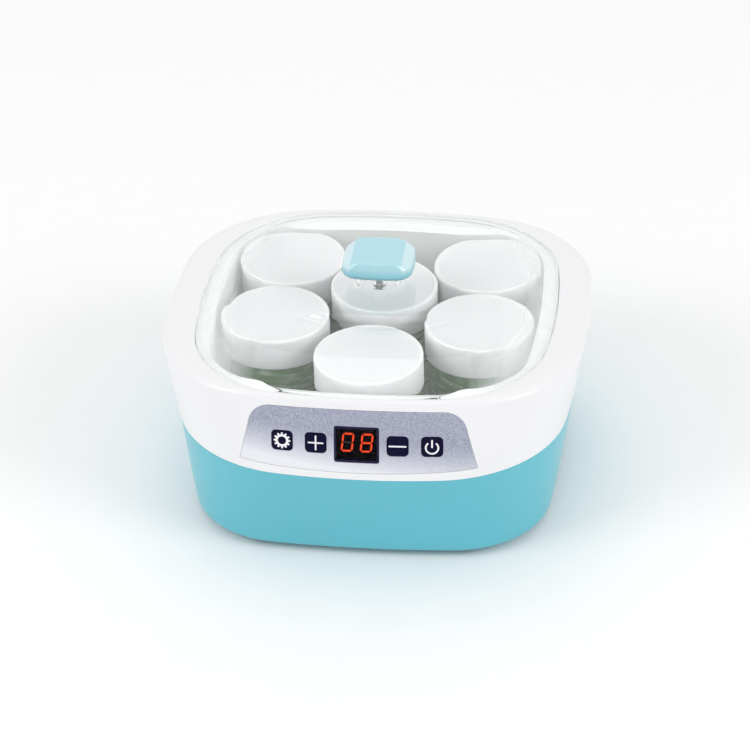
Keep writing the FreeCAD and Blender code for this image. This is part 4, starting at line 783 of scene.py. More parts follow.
def new_object(name: str, points: Array, faces: Iterable[Sequence[int]]) -> bpy.types.Object:
    """Put points in millimetres and faces into a new object at the origin."""
    mesh = bpy.data.meshes.new(name)
    mesh.from_pydata((points * MM).tolist(), [], list(faces))
    mesh.validate()
    piece = bpy.data.objects.new(name, mesh)
    bpy.context.scene.collection.objects.link(piece)
    return smooth(piece)


def smooth(piece: bpy.types.Object) -> bpy.types.Object:
    """Smooth shading with sharp edges where the surface turns hard."""
    piece.data.shade_smooth()
    piece.data.set_sharp_from_angle(angle=SHARP_ANGLE)
    piece.data.update()
    return piece


def skin(name: str, rings: Array, closed: bool = False) -> bpy.types.Object:
    """A closed surface over a stack of rings.

    Neighbouring rings are joined by quads. A closed stack joins its last ring to its first, and an open one
    ends in a fan about the mean of its end ring. The signed volume, a sum of a . (b x c) / 6, tells which way
    the faces point, and they are turned outwards.

    Args:
        name: The piece's name.
        rings: Rings, points, coordinates.
        closed: Whether the stack goes round.

    Returns:
        The new object.
    """
    levels, count = rings.shape[:2]
    points = rings.reshape(-1, 3)
    rows = np.arange(levels if closed else levels - 1)[:, None]
    columns = np.arange(count)[None, :]
    here, following = rows * count, (rows + 1) % levels * count
    beside = (columns + 1) % count
    corners = [here + columns, here + beside, following + beside, following + columns]
    quads = np.stack(corners, -1).reshape(-1, 4)
    fans = np.zeros((0, 3), int)
    if not closed:
        first, last = len(points), len(points) + 1
        points = np.concatenate([points, rings[:1].mean(1), rings[-1:].mean(1)])
        top = (levels - 1) * count
        around, after = columns[0], beside[0]
        fans = np.concatenate([
            np.column_stack([np.full(count, first), after, around]),
            np.column_stack([np.full(count, last), top + around, top + after]),
        ])
    a, b, c = points[np.concatenate([quads[:, [0, 1, 2]], quads[:, [0, 2, 3]], fans])].transpose(1, 0, 2)
    if np.einsum("ij,ij->", a, np.cross(b, c)) < 0:
        quads, fans = quads[:, ::-1], fans[:, ::-1]
    return new_object(name, points, quads.tolist() + fans.tolist())


class Cut(Enum):
    """What a tool does to a piece."""

    AWAY = "DIFFERENCE"
    JOIN = "UNION"


def carve(piece: bpy.types.Object, tools: Sequence[bpy.types.Object], cut: Cut) -> bpy.types.Object:
    """Take tools away from a piece or join them to it, and remove the tools."""
    for tool in tools:
        modifier = piece.modifiers.new("carve", "BOOLEAN")
        modifier.operation = cut.value
        modifier.solver = "EXACT"
        modifier.object = tool
        bpy.context.view_layer.update()
        shown = piece.evaluated_get(bpy.context.evaluated_depsgraph_get())
        carved = bpy.data.meshes.new_from_object(shown)
        piece.modifiers.clear()
        worn, piece.data = piece.data, carved
        bpy.data.meshes.remove(worn)
        bpy.data.meshes.remove(tool.data)
    return smooth(piece)


def dress(
    piece: bpy.types.Object, finish: Finish, body: str, stands_for: Sequence[str] = (),
) -> bpy.types.Object:
    """Give a piece its finish and its place in the machine.

    Args:
        piece: The new piece.
        finish: Its finish.
        body: The body that it rides on.
        stands_for: Solids that it replaces.

    Returns:
        The piece.
    """
    piece.data.materials.clear()
    piece.data.materials.append(finish.material())
    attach(piece, body)
    if stands_for:
        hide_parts(*stands_for)
    log.info("%s: %d faces, rides on %s", piece.name, len(piece.data.polygons), body)
    return piece


# Shared outlines

BASE = Outline(110.5, 109.5, 660.0, 58.0)
PARTING = Outline(119.5, 119.5, 385.0, 79.0)
SHOULDER = Outline(127.5, 110.9, 500.0, 72.0)
RECESS = Outline(107.8, 106.8, 400.0, 67.5)
WELL = Outline(97.0, 91.0, 600.0, 36.0)
PARTING_Z = 62.0
SHOULDER_Z = 107.2
COLLAR_TOP = 111.0
RECESS_FLOOR = 106.6
SCOOP = 10.0
SCOOP_X = 62.0
SCOOP_BLEND = 16.0


@dataclass(frozen=True)
class FrontPanel:
    """Frame of the leaning front: x sideways, up along the face, out of the face."""

    front_y: float = -115.324
    middle_z: float = 83.949
    lean: float = math.atan2(119.5 - 110.9, SHOULDER_Z - PARTING_Z)

    def place(self, x: Array, up: Array, out: Array) -> Array:
        """Points of the machine's frame for points of the panel's frame, turned by the lean about X."""
        sine, cosine = math.sin(self.lean), math.cos(self.lean)
        y = self.front_y + up * sine - out * cosine
        z = self.middle_z + up * cosine + out * sine
        return np.stack(np.broadcast_arrays(x, y, z), -1)

    def face(self, x: Array, up: Array, inset: float) -> Array:
        """How far out the collar's flank lies, inset from its outside.

        The flank is straight between the parting outline and the shoulder outline at the same arc place s,
        so x(s, t) = (1-t) x0(s) + t x1(s). Halving finds s for each x, and a few turns of the height t settle
        the lean.

        Args:
            x: Sideways places.
            up: Places up the face.
            inset: Depth below the outside.

        Returns:
            The distance out of the panel's plane.
        """
        front = slice(3 * SIDE_STEPS + 2 * CORNER_STEPS, None)
        low = PARTING.inset(inset).points()[front]
        high = SHOULDER.inset(inset).points()[front]
        index = np.arange(len(low), dtype=float)
        sine, cosine = math.sin(self.lean), math.cos(self.lean)
        out = np.zeros(np.broadcast(x, up).shape)
        for _ in range(6):
            level = self.middle_z + up * cosine + out * sine
            share = np.clip((level - PARTING_Z) / (SHOULDER_Z - PARTING_Z), -0.2, 1.2)
            left, right = np.zeros(out.shape), np.full(out.shape, index[-1])
            for _ in range(26):
                middle = (left + right) / 2
                reached = (1 - share) * np.interp(middle, index, low[:, 0])
                reached = reached + share * np.interp(middle, index, high[:, 0])
                left, right = np.where(reached < x, middle, left), np.where(reached < x, right, middle)
            y = (1 - share) * np.interp(left, index, low[:, 1]) + share * np.interp(left, index, high[:, 1])
            out = (self.front_y + up * sine - y) / cosine
        return out

    def on_face(self, flat: Array, inset: float) -> Array:
        """A flat outline laid on the flank at one depth."""
        return self.place(flat[:, 0], flat[:, 1], self.face(flat[:, 0], flat[:, 1], inset))

    def plug(self, name: str, flat: Array, top: float, bottom: float, soft: float = 0.0) -> bpy.types.Object:
        """A block through the front whose two faces follow the flank.

        The rings are the outline shrunk about its middle, p = c + s (q - c), laid on the flank.

        Args:
            name: The piece's name.
            flat: The outline, x and up.
            top: Depth of its outer face; negative stands proud.
            bottom: Depth of its inner face.
            soft: Rounding of the outer edge.

        Returns:
            The new object.
        """
        return skin(name, swept(self.plug_stops(flat, top, bottom, soft), False, 5))

    def plug_stops(self, flat: Array, top: float, bottom: float, soft: float) -> list[Stop]:
        """Rings of a block from its outer face inwards."""
        centre = flat.mean(0)
        shares = (0.2, 0.4, 0.6, 0.8, 0.93)
        outer = [Stop(self.on_face(centre + share * (flat - centre), top)) for share in shares]
        inner = [Stop(self.on_face(centre + share * (flat - centre), bottom)) for share in shares[::-1]]
        return outer + [Stop(self.on_face(flat, top), soft), Stop(self.on_face(flat, bottom))] + inner


PANEL = FrontPanel()


def rounded_rectangle(width: float, height: float, corner: float, x: float = 0.0, up: float = 0.0) -> Array:
    """A rectangle with round corners: each side is divided evenly and each corner is an arc."""
    a, b = width / 2 - corner, height / 2 - corner
    quarter = math.pi / 2
    parts = []
    for turn, (cx, cy) in enumerate(((a, -b), (a, b), (-a, b), (-a, -b))):
        angle = quarter * (turn - 1) + quarter * np.arange(9) / 8
        parts.append(np.array([cx, cy]) + corner * ways(angle))
    corners = np.concatenate(parts)
    return refined(corners, 1.2) + np.array([x, up])


def refined(flat: Array, step: float) -> Array:
    """A closed outline with its long runs divided, linear in between."""
    following = np.roll(flat, -1, axis=0)
    lengths = np.linalg.norm(following - flat, axis=1)
    counts = np.maximum(1, np.ceil(lengths / step)).astype(int)
    start = np.repeat(np.arange(len(flat)), counts)
    local = np.arange(len(start)) - np.repeat(np.cumsum(counts) - counts, counts)
    share = (local / counts[start])[:, None]
    return flat[start] * (1 - share) + following[start] * share


# Sub-assemblies


@dataclass
class BaseTub:
    """Light-blue tub with its rounded heel, the inlet's boss, screw columns and rubber feet."""

    wall: float = 2.4
    underside: float = 4.0
    floor_top: float = 6.5
    heel: float = 4.0
    inlet_face_y: float = 114.563
    inlet_z: float = 24.0
    boss: tuple[float, float, float] = (28.0, 6.609, 19.0)
    mouth: tuple[float, float] = (22.7, 13.7)
    screw_places: tuple[tuple[float, float], ...] = ((-60, -98), (60, -98), (-60, 98), (60, 98))
    foot_places: Mapping[str, tuple[float, float]] = field(default_factory=lambda: {
        "front_left": (-70, -70), "front_right": (70, -70), "rear_left": (-70, 70), "rear_right": (70, 70)})

    def rings(self) -> Array:
        """Rings from the underside's middle, round the heel, up the flank, over the lip and down inside.

        The heel is a quarter ellipse: inset heel (1 - sin a), height heel (1 - cos a).
        """
        heel_top = self.underside + self.heel
        angle = np.linspace(0, math.pi / 2, 12)
        heel = [
            BASE.inset(self.heel * (1 - math.sin(a))).ring(self.underside + self.heel * (1 - math.cos(a)))
            for a in angle
        ]
        share = np.linspace(0, 1, 40)[1:, None, None]
        flank = BASE.ring(heel_top) + share * (PARTING.ring(PARTING_Z - 0.5) - BASE.ring(heel_top))
        outside = eased(np.concatenate([np.array(heel), flank]), 10)
        low = BASE.inset(self.heel).ring(self.underside)
        under = np.array([low * (s, s, 1) for s in (0.15, 0.4, 0.7, 0.9)])
        lip = swept([
            Stop(outside[-1]),
            Stop(PARTING.ring(PARTING_Z), 0.45),
            Stop(PARTING.inset(self.wall).ring(PARTING_Z), 0.4),
            Stop(BASE.inset(self.wall).ring(self.floor_top), 2.0),
            Stop(BASE.inset(self.wall).ring(self.floor_top) * (0.1, 0.1, 1)),
        ], False)
        return np.concatenate([under, outside, lip[1:]])

    def build(self) -> None:
        """Tub with boss, screw wells and inlet mouth, then the columns and feet."""
        tub = skin("base_tub", self.rings())
        width, depth, height = self.boss
        boss = block("boss", (width, depth, height), (0, self.inlet_face_y - depth / 2, self.inlet_z), 1.6)
        carve(tub, [boss], Cut.JOIN)
        mouth = (self.mouth[0], 16, self.mouth[1])
        tools = [block("mouth", mouth, (0, self.inlet_face_y - 3, self.inlet_z), 1.0)]
        for x, y in self.screw_places:
            tools.append(skin("bore", np.array([round_ring(3.55, z, 48) for z in (0, 10)]) + (x, y, 0)))
        carve(tub, tools, Cut.AWAY)
        dress(tub, Finish.BLUE, "base", ["base_housing"])
        for number, (x, y) in enumerate(self.screw_places):
            self.column(number, x, y)
        for corner, (x, y) in self.foot_places.items():
            self.foot(corner, x, y)

    def column(self, number: int, x: float, y: float) -> None:
        """Hollow screw column: a turned tube with a shelf for the screw's head."""
        profile = ((3.55, 5.0), (5.0, 5.0), (5.0, 57.8), (1.6, 57.8), (1.6, 52.8), (3.55, 52.8))
        rings = turned([(radius, z, 0.2) for radius, z in profile], True, 3, 48) + (x, y, 0)
        dress(skin(f"screw_column_{number}", rings, True), Finish.BLUE, "base")

    def foot(self, corner: str, x: float, y: float) -> None:
        """Rubber foot: a turned disc with a soft rim, a shallow dish below and a stem."""
        profile = (
            (4.0, 0.35, 0), (6.4, 0.35, 0.3), (6.9, 0.0, 0.3), (8.6, 0.0, 0.7), (9.0, 4.0, 0.5),
            (3.0, 4.0, 0), (3.0, 6.7, 0), (4.2, 6.7, 0.3), (3.0, 8.7, 0.6), (1.0, 8.7, 0),
        )
        rings = turned(profile, False, 4, 64) + (x, y, 0)
        dress(skin(f"rubber_foot_{corner}", rings), Finish.RUBBER, "base", [f"foot_{corner}"])


def block(
    name: str, size: Sequence[float], centre: Sequence[float], corner: float,
) -> bpy.types.Object:
    """A block along Y with round upright corners: a rounded rectangle carried from front to rear."""
    flat = rounded_rectangle(size[0], size[2], corner)
    rings = [
        np.column_stack([flat[:, 0], np.full(len(flat), side * size[1] / 2), flat[:, 1]]) + np.array(centre)
        for side in (-1, 1)
    ]
    return skin(name, np.array(rings))


def scooped(ring: Array, reach: float, drop: float = 0.0) -> Array:
    """A ring of the well's mouth whose front part lies further forwards, or lower.

    The share is a smooth step, t^2 (3 - 2t), of t = (SCOOP_X - |x|) / SCOOP_BLEND for the points in front.

    Args:
        ring: The plain ring.
        reach: How far the front part is moved forwards.
        drop: How far it is moved down.

    Returns:
        The changed ring.
    """
    near = np.clip((SCOOP_X - np.abs(ring[:, 0])) / SCOOP_BLEND, 0, 1) * (ring[:, 1] < 0)
    share = near**2 * (3 - 2 * near)
    return ring + np.column_stack([0 * share, -reach * share, -drop * share])


@dataclass
class Collar:
    """White collar: leaning flank, soft brow, lid recess, overlay pocket, key and lens openings."""

    wall: float = 2.4
    brow_height: float = 3.8
    brow_inset: tuple[float, float] = (7.5, 1.8)
    lip: tuple[float, float] = (3.583, 5.383)
    lip_drop: float = 4.5
    shelf_bottom: float = 105.0
    pocket_depth: float = 1.0

    def rings(self) -> Array:
        """Rings round the collar's section, from the parting edge up the flank and back inside.

        The brow is a quarter ellipse: inset i (1 - cos a), height h sin a, eased into the flank.
        """
        share = np.linspace(0, 1, 46)[:, None, None]
        low, high = PARTING.ring(PARTING_Z), SHOULDER.ring(SHOULDER_Z)
        flank = (low + share * (high - low))[1:]
        brow = [
            SHOULDER.inset(self.brow_inset[0] * (1 - math.cos(a)), self.brow_inset[1] * (1 - math.cos(a)))
            .ring(SHOULDER_Z + self.brow_height * math.sin(a))
            for a in np.linspace(0, math.pi / 2, 13)[1:]
        ]
        outside = eased(np.concatenate([flank, np.array(brow)]), 14)
        opening = WELL.inset(-2.7)
        shelf = PARTING_Z + self.wall / 2
        inside = swept([
            Stop(outside[-1]),
            Stop(RECESS.ring(COLLAR_TOP), 0.8),
            Stop(RECESS.ring(RECESS_FLOOR), 0.3),
            Stop(scooped(opening.ring(RECESS_FLOOR), SCOOP)),
            Stop(scooped(opening.ring(self.shelf_bottom), SCOOP)),
            Stop(SHOULDER.inset(self.wall).ring(self.shelf_bottom), 1.0, 8),
            Stop(PARTING.inset(self.wall).ring(shelf)),
            Stop(PARTING.inset(self.lip[1]).ring(shelf)),
            Stop(PARTING.inset(self.lip[1]).ring(PARTING_Z - self.lip_drop)),
            Stop(PARTING.inset(self.lip[0]).ring(PARTING_Z - self.lip_drop)),
            Stop(PARTING.inset(self.lip[0]).ring(PARTING_Z)),
            Stop(PARTING.ring(PARTING_Z), 0.45),
            Stop(outside[0]),
        ], False, 5)
        return np.concatenate([outside, inside[1:-1]])

    def build(self, controls: "Controls") -> None:
        """Collar with its pocket and openings cut."""
        collar = skin("collar", self.rings(), True)
        tools = [PANEL.plug("pocket", controls.overlay_outline(0.2), -3.0, self.pocket_depth)]
        tools.append(PANEL.plug("lens_hole", controls.lens_outline(0.2), -4.0, 6.0))
        for x in controls.key_places.values():
            tools.append(PANEL.plug("key_hole", controls.key_outline(x, controls.key_gap), -4.0, 6.0))
        carve(collar, tools, Cut.AWAY)
        dress(collar, Finish.WHITE, "base", ["upper_shell"])


@dataclass
class InnerWell:
    """Pale tub for the jars, with a broad rim under the lid's flange that slopes in at the front."""

    wall: float = 2.0
    scoop_drop: float = 6.4
    taper: float = 1.5
    floor_z: float = 27.0
    rim_top: float = 108.2

    def build(self) -> None:
        """Rings from below the floor, up outside, over the rim, down inside to the floor."""
        outer_low, inner_low = WELL.inset(self.taper - self.wall), WELL.inset(self.taper)
        rim = RECESS.inset(0.35)
        rings = swept([
            Stop(outer_low.ring(self.floor_z - self.wall) * (0.05, 0.05, 1)),
            Stop(outer_low.ring(self.floor_z - self.wall), 3.0, 6),
            Stop(scooped(WELL.inset(-self.wall).ring(RECESS_FLOOR - 1.0), 0.0, self.scoop_drop)),
            Stop(scooped(WELL.inset(-self.wall).ring(RECESS_FLOOR), SCOOP)),
            Stop(rim.ring(RECESS_FLOOR), 0.3),
            Stop(rim.ring(self.rim_top), 0.4),
            Stop(scooped(WELL.ring(self.rim_top), SCOOP), 0.7),
            Stop(scooped(WELL.ring(self.rim_top - 1.4), 0.0, self.scoop_drop - 1.4), 0.9, 10),
            Stop(inner_low.ring(self.floor_z), 3.4),
            Stop(inner_low.ring(self.floor_z) * (0.05, 0.05, 1)),
        ], False)
        dress(skin("jar_well", rings), Finish.WELL, "base", ["inner_well"])


KNOB_Y = 4.5


@dataclass
class ClearLid:
    """Clear lid: flat flange, sloped wall, plateau, raised panel and the knob's hollow pedestal."""

    flange_gap: float = 0.35
    flange_width: float = 3.4
    bottom: float = 108.4
    flange_top: float = 111.4
    plateau: Outline = Outline(91.0, 77.0, 300.0, 54.0)
    raised: Outline = Outline(44.0, 31.0, 250.0, 22.0)
    raised_y: float = -8.0
    side_ramp: float = 22.0
    rear_ramp: float = 42.0
    step: float = 2.0
    plateau_z: float = 119.8
    raised_z: float = 124.0
    pedestal: tuple[float, float] = (13.2, 9.5)
    flare: float = 2.4
    pedestal_top: float = 132.4
    boss: float = 4.4
    hole: float = 1.85
    wall: float = 2.2
    turn_from: float = 10.0
    turn_over: float = 28.0

    def build(self) -> None:
        """The lid in its clear finish."""
        lid = skin("clear_lid", swept(self.outside() + self.inside(), True, 8), True)
        dress(lid, Finish.CLEAR, "lid", ["lid"])

    def foot_ring(self, z: float, inset: float) -> Array:
        """Foot of the raised panel, whose ramps reach further at the sides and the rear."""
        both = (self.rear_ramp + self.step) / 2
        foot = self.raised.inset(inset - self.side_ramp, inset - both)
        return foot.ring(z, self.raised_y + (self.rear_ramp - self.step) / 2)

    def turning(self, ring: Array, front: float, rest: float) -> Stop:
        """A ring that turns by one softness at its front, another elsewhere, and changes in between."""
        share = np.clip((-ring[:, 1:2] - self.turn_from) / self.turn_over, 0, 1)
        return Stop(ring, rest + (front - rest) * share)

    def pedestal_ring(self, z: float, grow: float) -> Array:
        """Level of the pedestal, grown all round."""
        return Outline(self.pedestal[0] + grow, self.pedestal[1] + grow, 900.0, 2.4).ring(z, KNOB_Y)

    def bore_ring(self, radius: float, z: float) -> Array:
        """Circle about the knob's screw."""
        return circle_like(self.pedestal_ring(z, 0.0) - (0, KNOB_Y, 0), radius, z) + (0, KNOB_Y, 0)

    def outside(self) -> list[Stop]:
        """Rings from the flange's bottom over the plateau and the raised panel to the screw's hole."""
        edge = RECESS.inset(self.flange_gap + self.flange_width)
        return [
            Stop(RECESS.inset(self.flange_gap).ring(self.bottom), 0.4),
            Stop(RECESS.inset(self.flange_gap).ring(self.flange_top), 0.9),
            Stop(edge.ring(self.flange_top), 1.5),
            self.turning(self.plateau.ring(self.plateau_z), 0.7, 10.0),
            self.turning(self.foot_ring(self.plateau_z, 0.0), 3.0, 11.0),
            self.turning(self.raised.ring(self.raised_z, self.raised_y), 3.0, 11.0),
            Stop(self.pedestal_ring(self.raised_z, self.flare), 0.8),
            Stop(self.pedestal_ring(self.raised_z + self.flare, 0.0), 1.6),
            Stop(self.pedestal_ring(self.pedestal_top, 0.0), 0.4),
            Stop(self.bore_ring(self.hole, self.pedestal_top), 0.2),
        ]

    def inside(self) -> list[Stop]:
        """Rings from the screw's hole round its boss, up into the pedestal and down to the flange."""
        edge = RECESS.inset(self.flange_gap + self.flange_width)
        wall, ceiling = self.wall, self.raised_z - self.wall
        mouth = edge.inset(1.0)
        return [
            Stop(self.bore_ring(self.hole, ceiling), 0.2),
            Stop(self.bore_ring(self.boss, ceiling), 0.3),
            Stop(self.bore_ring(self.boss, self.pedestal_top - wall), 0.4),
            Stop(self.pedestal_ring(self.pedestal_top - wall, -wall), 0.4),
            Stop(self.pedestal_ring(ceiling, -wall), 0.5),
            self.turning(self.raised.inset(wall).ring(ceiling, self.raised_y), 3.0, 11.0),
            self.turning(self.foot_ring(self.plateau_z - wall, wall), 3.0, 11.0),
            self.turning(self.plateau.inset(wall).ring(self.plateau_z - wall), 0.7, 10.0),
            Stop(mouth.ring(self.flange_top - wall / 2), 0.8),
            Stop(mouth.ring(self.bottom), 0.4),
        ]


@dataclass
class Knob:
    """Light-blue block knob: broad top facet, chamfered sides and an undercut belt."""

    shape: Outline = Outline(22.0, 18.5, 110.0, 9.0)
    bottom: float = 132.6

    def build(self) -> None:
        """Rings from the underside over the belt, the shoulder and the facet's edge to the crown."""
        rings = swept([
            Stop(self.level(13.0, 11.0, 0.0)), Stop(self.level(2.6, 2.6, 0.0), 0.9),
            Stop(self.level(0.0, 0.0, 2.6), 1.3), Stop(self.level(0.7, 0.7, 7.4), 0.9),
            Stop(self.level(6.6, 2.0, 11.5), 1.3), Stop(self.level(12.6, 8.0, 11.98), 2.0),
            Stop(self.level(15.5, 12.0, 12.0)),
        ], False)
        dress(skin("knob_block", rings), Finish.KNOB_BLUE, "lid", ["lid_knob"])

    def level(self, inset_x: float, inset_y: float, rise: float) -> Array:
        """The knob's outline at one level, moved inwards with softer corners."""
        shape = self.shape
        outline = Outline(
            shape.half_x - inset_x, shape.half_y - inset_y, shape.bow - inset_x, shape.corner - inset_x / 2)
        return outline.ring(self.bottom + rise, KNOB_Y)


@dataclass
class Jars:
    """Six pressed-glass jars with plain white screw caps."""

    bottom: float = 27.2
    places: Mapping[str, tuple[float, float]] = field(default_factory=lambda: {
        "front": (0.0, -53.5), "middle": (0.0, 26.0), "left_front": (-61.6, -12.8),
        "left_rear": (-60.4, 53.6), "right_front": (61.6, -12.8), "right_rear": (60.4, 53.6)})

    def build(self) -> None:
        """A jar and a cap at each place."""
        for spot, (x, y) in self.places.items():
            move = np.array([x, y, self.bottom])
            jar = skin(f"glass_jar_{spot}", self.jar_rings() + move)
            dress(jar, Finish.GLASS, f"jar_{spot}", [f"jar_{spot}"])
            cap = skin(f"screw_cap_{spot}", self.cap_rings() + move)
            dress(cap, Finish.CAP, f"cap_{spot}", [f"jar_cap_{spot}"])

    @staticmethod
    def jar_rings() -> Array:
        """Turned profile of the jar, from under its foot up outside and down inside, soft at each turn."""
        profile = (
            (2.0, 1.0, 0), (22.0, 0.6, 2.0), (25.0, 0.0, 1.0), (29.0, 0.0, 1.6), (31.2, 3.0, 2.4),
            (31.2, 56.5, 2.4), (29.6, 60.0, 1.6), (29.6, 67.6, 0.6), (30.3, 68.3, 0.3), (30.3, 70.3, 0.3),
            (29.6, 71.0, 0.6), (29.6, 77.5, 1.0), (27.0, 77.5, 1.0), (27.0, 60.0, 1.6), (28.6, 56.5, 2.4),
            (28.6, 6.5, 3.0), (25.6, 3.5, 2.4), (2.0, 3.5, 0),
        )
        return turned(profile, False, 5)

    @staticmethod
    def cap_rings() -> Array:
        """Turned profile of the cap: skirt with a soft lower edge, flat top with a narrow soft rim."""
        profile = (
            (2.0, 77.7, 0), (30.8, 77.7, 0.8), (30.8, 60.7, 0.3), (32.6, 60.7, 0.5), (32.6, 79.7, 1.1),
            (30.4, 79.7, 0.4), (29.8, 79.45, 0.4), (2.0, 79.45, 0),
        )
        return turned(profile, False, 6)


class Sign(Enum):
    """Signs printed on the keys."""

    GEAR = "mode"
    PLUS = "plus"
    MINUS = "minus"
    POWER = "power"


@dataclass
class Controls:
    """Overlay film, four keys with their signs, smoked lens and the two-digit display."""

    wall: float = 2.4
    overlay_foot: tuple[float, float] = (70.0, -14.493)
    overlay_corner: float = 13.0
    overlay_corner_at: tuple[float, float] = (51.0, 8.668)
    overlay_sag: float = 3.4
    key_size: float = 12.2
    key_corner: float = 2.4
    key_gap: float = 0.35
    key_flange: float = 15.3
    key_proud: float = 0.3
    stem_radius: float = 2.0
    stem_end: float = -6.9
    print_proud: float = 0.04
    gear_hole: float = 2.5
    gear_root: float = 3.85
    gear_tooth: float = 1.2
    lens: tuple[float, float, float] = (26.2, 22.5, 1.2)
    module_out: float = -2.7
    key_places: Mapping[str, float] = field(default_factory=lambda: {
        "mode": -44.0, "plus": -24.0, "minus": 24.0, "power": 44.0})

    def overlay_outline(self, grow: float) -> Array:
        """Overlay outline: two round top corners that the sloped sides touch, and a bowed bottom.

        The side leaves the foot (x, y) along the tangent to the corner circle of radius r about c, which
        touches it at the angle atan2(foot - c) + acos(r / |foot - c|). The bottom sags by
        s (1 - (x / foot)^2) between the feet.
        """
        foot = np.array(self.overlay_foot) + (grow, -grow)
        radius = self.overlay_corner + grow
        centre = np.array(self.overlay_corner_at)
        away = foot - centre
        lean = math.atan2(away[1], away[0]) + math.acos(radius / np.hypot(*away))
        angle = np.linspace(lean, math.pi / 2, 18)
        arc = centre + radius * ways(angle)
        share = np.linspace(-1, 1, 60)[1:-1]
        bottom = np.column_stack([share * foot[0], foot[1] - self.overlay_sag * (1 - share**2)])
        right = np.concatenate([foot[None], arc])
        return refined(np.concatenate([right, right[::-1] * (-1, 1), bottom]), 1.6)

    def key_outline(self, x: float, grow: float) -> Array:
        """Key outline, grown all round."""
        size = self.key_size + 2 * grow
        return rounded_rectangle(size, size, self.key_corner + grow, x)

    def lens_outline(self, grow: float) -> Array:
        """Lens outline, grown all round."""
        return rounded_rectangle(self.lens[0] + 2 * grow, self.lens[1] + 2 * grow, self.lens[2] + grow)

    def build(self) -> None:
        """Film, keys, signs, lens and display."""
        film = PANEL.plug("overlay_film", self.overlay_outline(0.0), 0.0, 0.8, 0.12)
        holes = [PANEL.plug("hole", self.lens_outline(0.2), -2.0, 3.0)]
        for x in self.key_places.values():
            holes.append(PANEL.plug("hole", self.key_outline(x, self.key_gap), -2.0, 3.0))
        dress(carve(film, holes, Cut.AWAY), Finish.FILM, "base", ["panel_overlay"])
        for sign in Sign:
            self.key(sign)
        lens = PANEL.plug("display_lens", self.lens_outline(0.0), 0.0, 2.0, 0.35)
        dress(lens, Finish.LENS, "base", ["display_window"])
        self.display()

    def key(self, sign: Sign) -> None:
        """A key: soft-edged face, retaining flange inside the wall and a round stem to the switch."""
        body, x = f"key_{sign.value}", self.key_places[sign.value]
        flat = self.key_outline(x, 0.0)
        wide = np.array([x, 0.0]) + (flat - (x, 0.0)) * (self.key_flange / self.key_size)
        angle = np.arctan2(flat[:, 1], flat[:, 0] - x)
        stem = np.array([x, 0.0]) + self.stem_radius * ways(angle)
        flange = self.wall + self.key_gap
        stops = PANEL.plug_stops(flat, -self.key_proud, flange, 0.55)[:7]
        stops += [
            Stop(PANEL.on_face(wide, flange)),
            Stop(PANEL.on_face(wide, flange + 1.0)),
            Stop(PANEL.on_face(stem, flange + 1.0)),
            Stop(PANEL.place(stem[:, 0], stem[:, 1], np.full(len(stem), self.stem_end))),
        ]
        dress(skin(f"key_cap_{sign.value}", swept(stops, False, 5)), Finish.KEY, body, [body])
        for number, mark in enumerate(self.marks(sign, x)):
            mark.name = f"sign_{sign.value}_{number}"
            dress(mark, Finish.INK, body)

    def marks(self, sign: Sign, x: float) -> list[bpy.types.Object]:
        """The printed marks of one sign, thin skins on the key's face."""
        if sign is Sign.GEAR:
            return [self.gear(x)]
        if sign is Sign.PLUS:
            arm, half = 4.6, 0.47
            cross = np.array([
                (arm, -half), (arm, half), (half, half), (half, arm), (-half, arm), (-half, half),
                (-arm, half), (-arm, -half), (-half, -half), (-half, -arm), (half, -arm), (half, -half)])
            return [self.print_plug(refined(cross, 0.6) + (x, 0.0))]
        if sign is Sign.MINUS:
            return [self.print_plug(rounded_rectangle(10.4, 0.98, 0.15, x))]
        angle = np.linspace(math.radians(90 + 38), math.radians(90 + 322), 60)
        ring = np.array([x, -0.5]) + 3.65 * ways(angle)
        return [self.stroke(ring, 1.0), self.print_plug(rounded_rectangle(1.0, 5.2, 0.4, x, 2.0))]

    def print_depths(self) -> tuple[float, float]:
        """Depths of a print's outer and inner face, just outside and inside the key's face."""
        return -self.key_proud - self.print_proud, -self.key_proud + 0.05

    def print_plug(self, flat: Array) -> bpy.types.Object:
        """A thin printed patch on the key's face."""
        return PANEL.plug("print", flat, *self.print_depths())

    def gear(self, x: float) -> bpy.types.Object:
        """A printed gear: a ring whose outer radius steps between root and tip, twelve times round.

        The step is a steep smooth wave, root + (tip - root) / (1 + exp(-7 cos 12 a)).
        """
        angle = np.linspace(0, 2 * math.pi, 288, endpoint=False)
        outer = self.gear_root + self.gear_tooth / (1 + np.exp(-7 * np.cos(12 * angle)))
        inner = np.full(len(angle), self.gear_hole)
        way = ways(angle)
        top, low = self.print_depths()
        radii = ((inner, top), ((outer + inner) / 2, top), (outer, top), (outer, low), (inner, low))
        rings = [PANEL.on_face(np.array([x, 0.0]) + way * radius[:, None], depth) for radius, depth in radii]
        return skin("print", np.array(rings), True)

    def stroke(self, path: Array, width: float) -> bpy.types.Object:
        """A printed line: a thin strip carried along a path on the key's face."""
        way = np.gradient(path, axis=0)
        across = np.column_stack([-way[:, 1], way[:, 0]]) / np.linalg.norm(way, axis=1, keepdims=True)
        top, low = self.print_depths()
        sides = [(1, top), (0, top), (-1, top), (-1, low), (1, low)]
        edges = [PANEL.on_face(path + across * side * width / 2, depth) for side, depth in sides]
        return skin("print", np.stack(edges, 1))

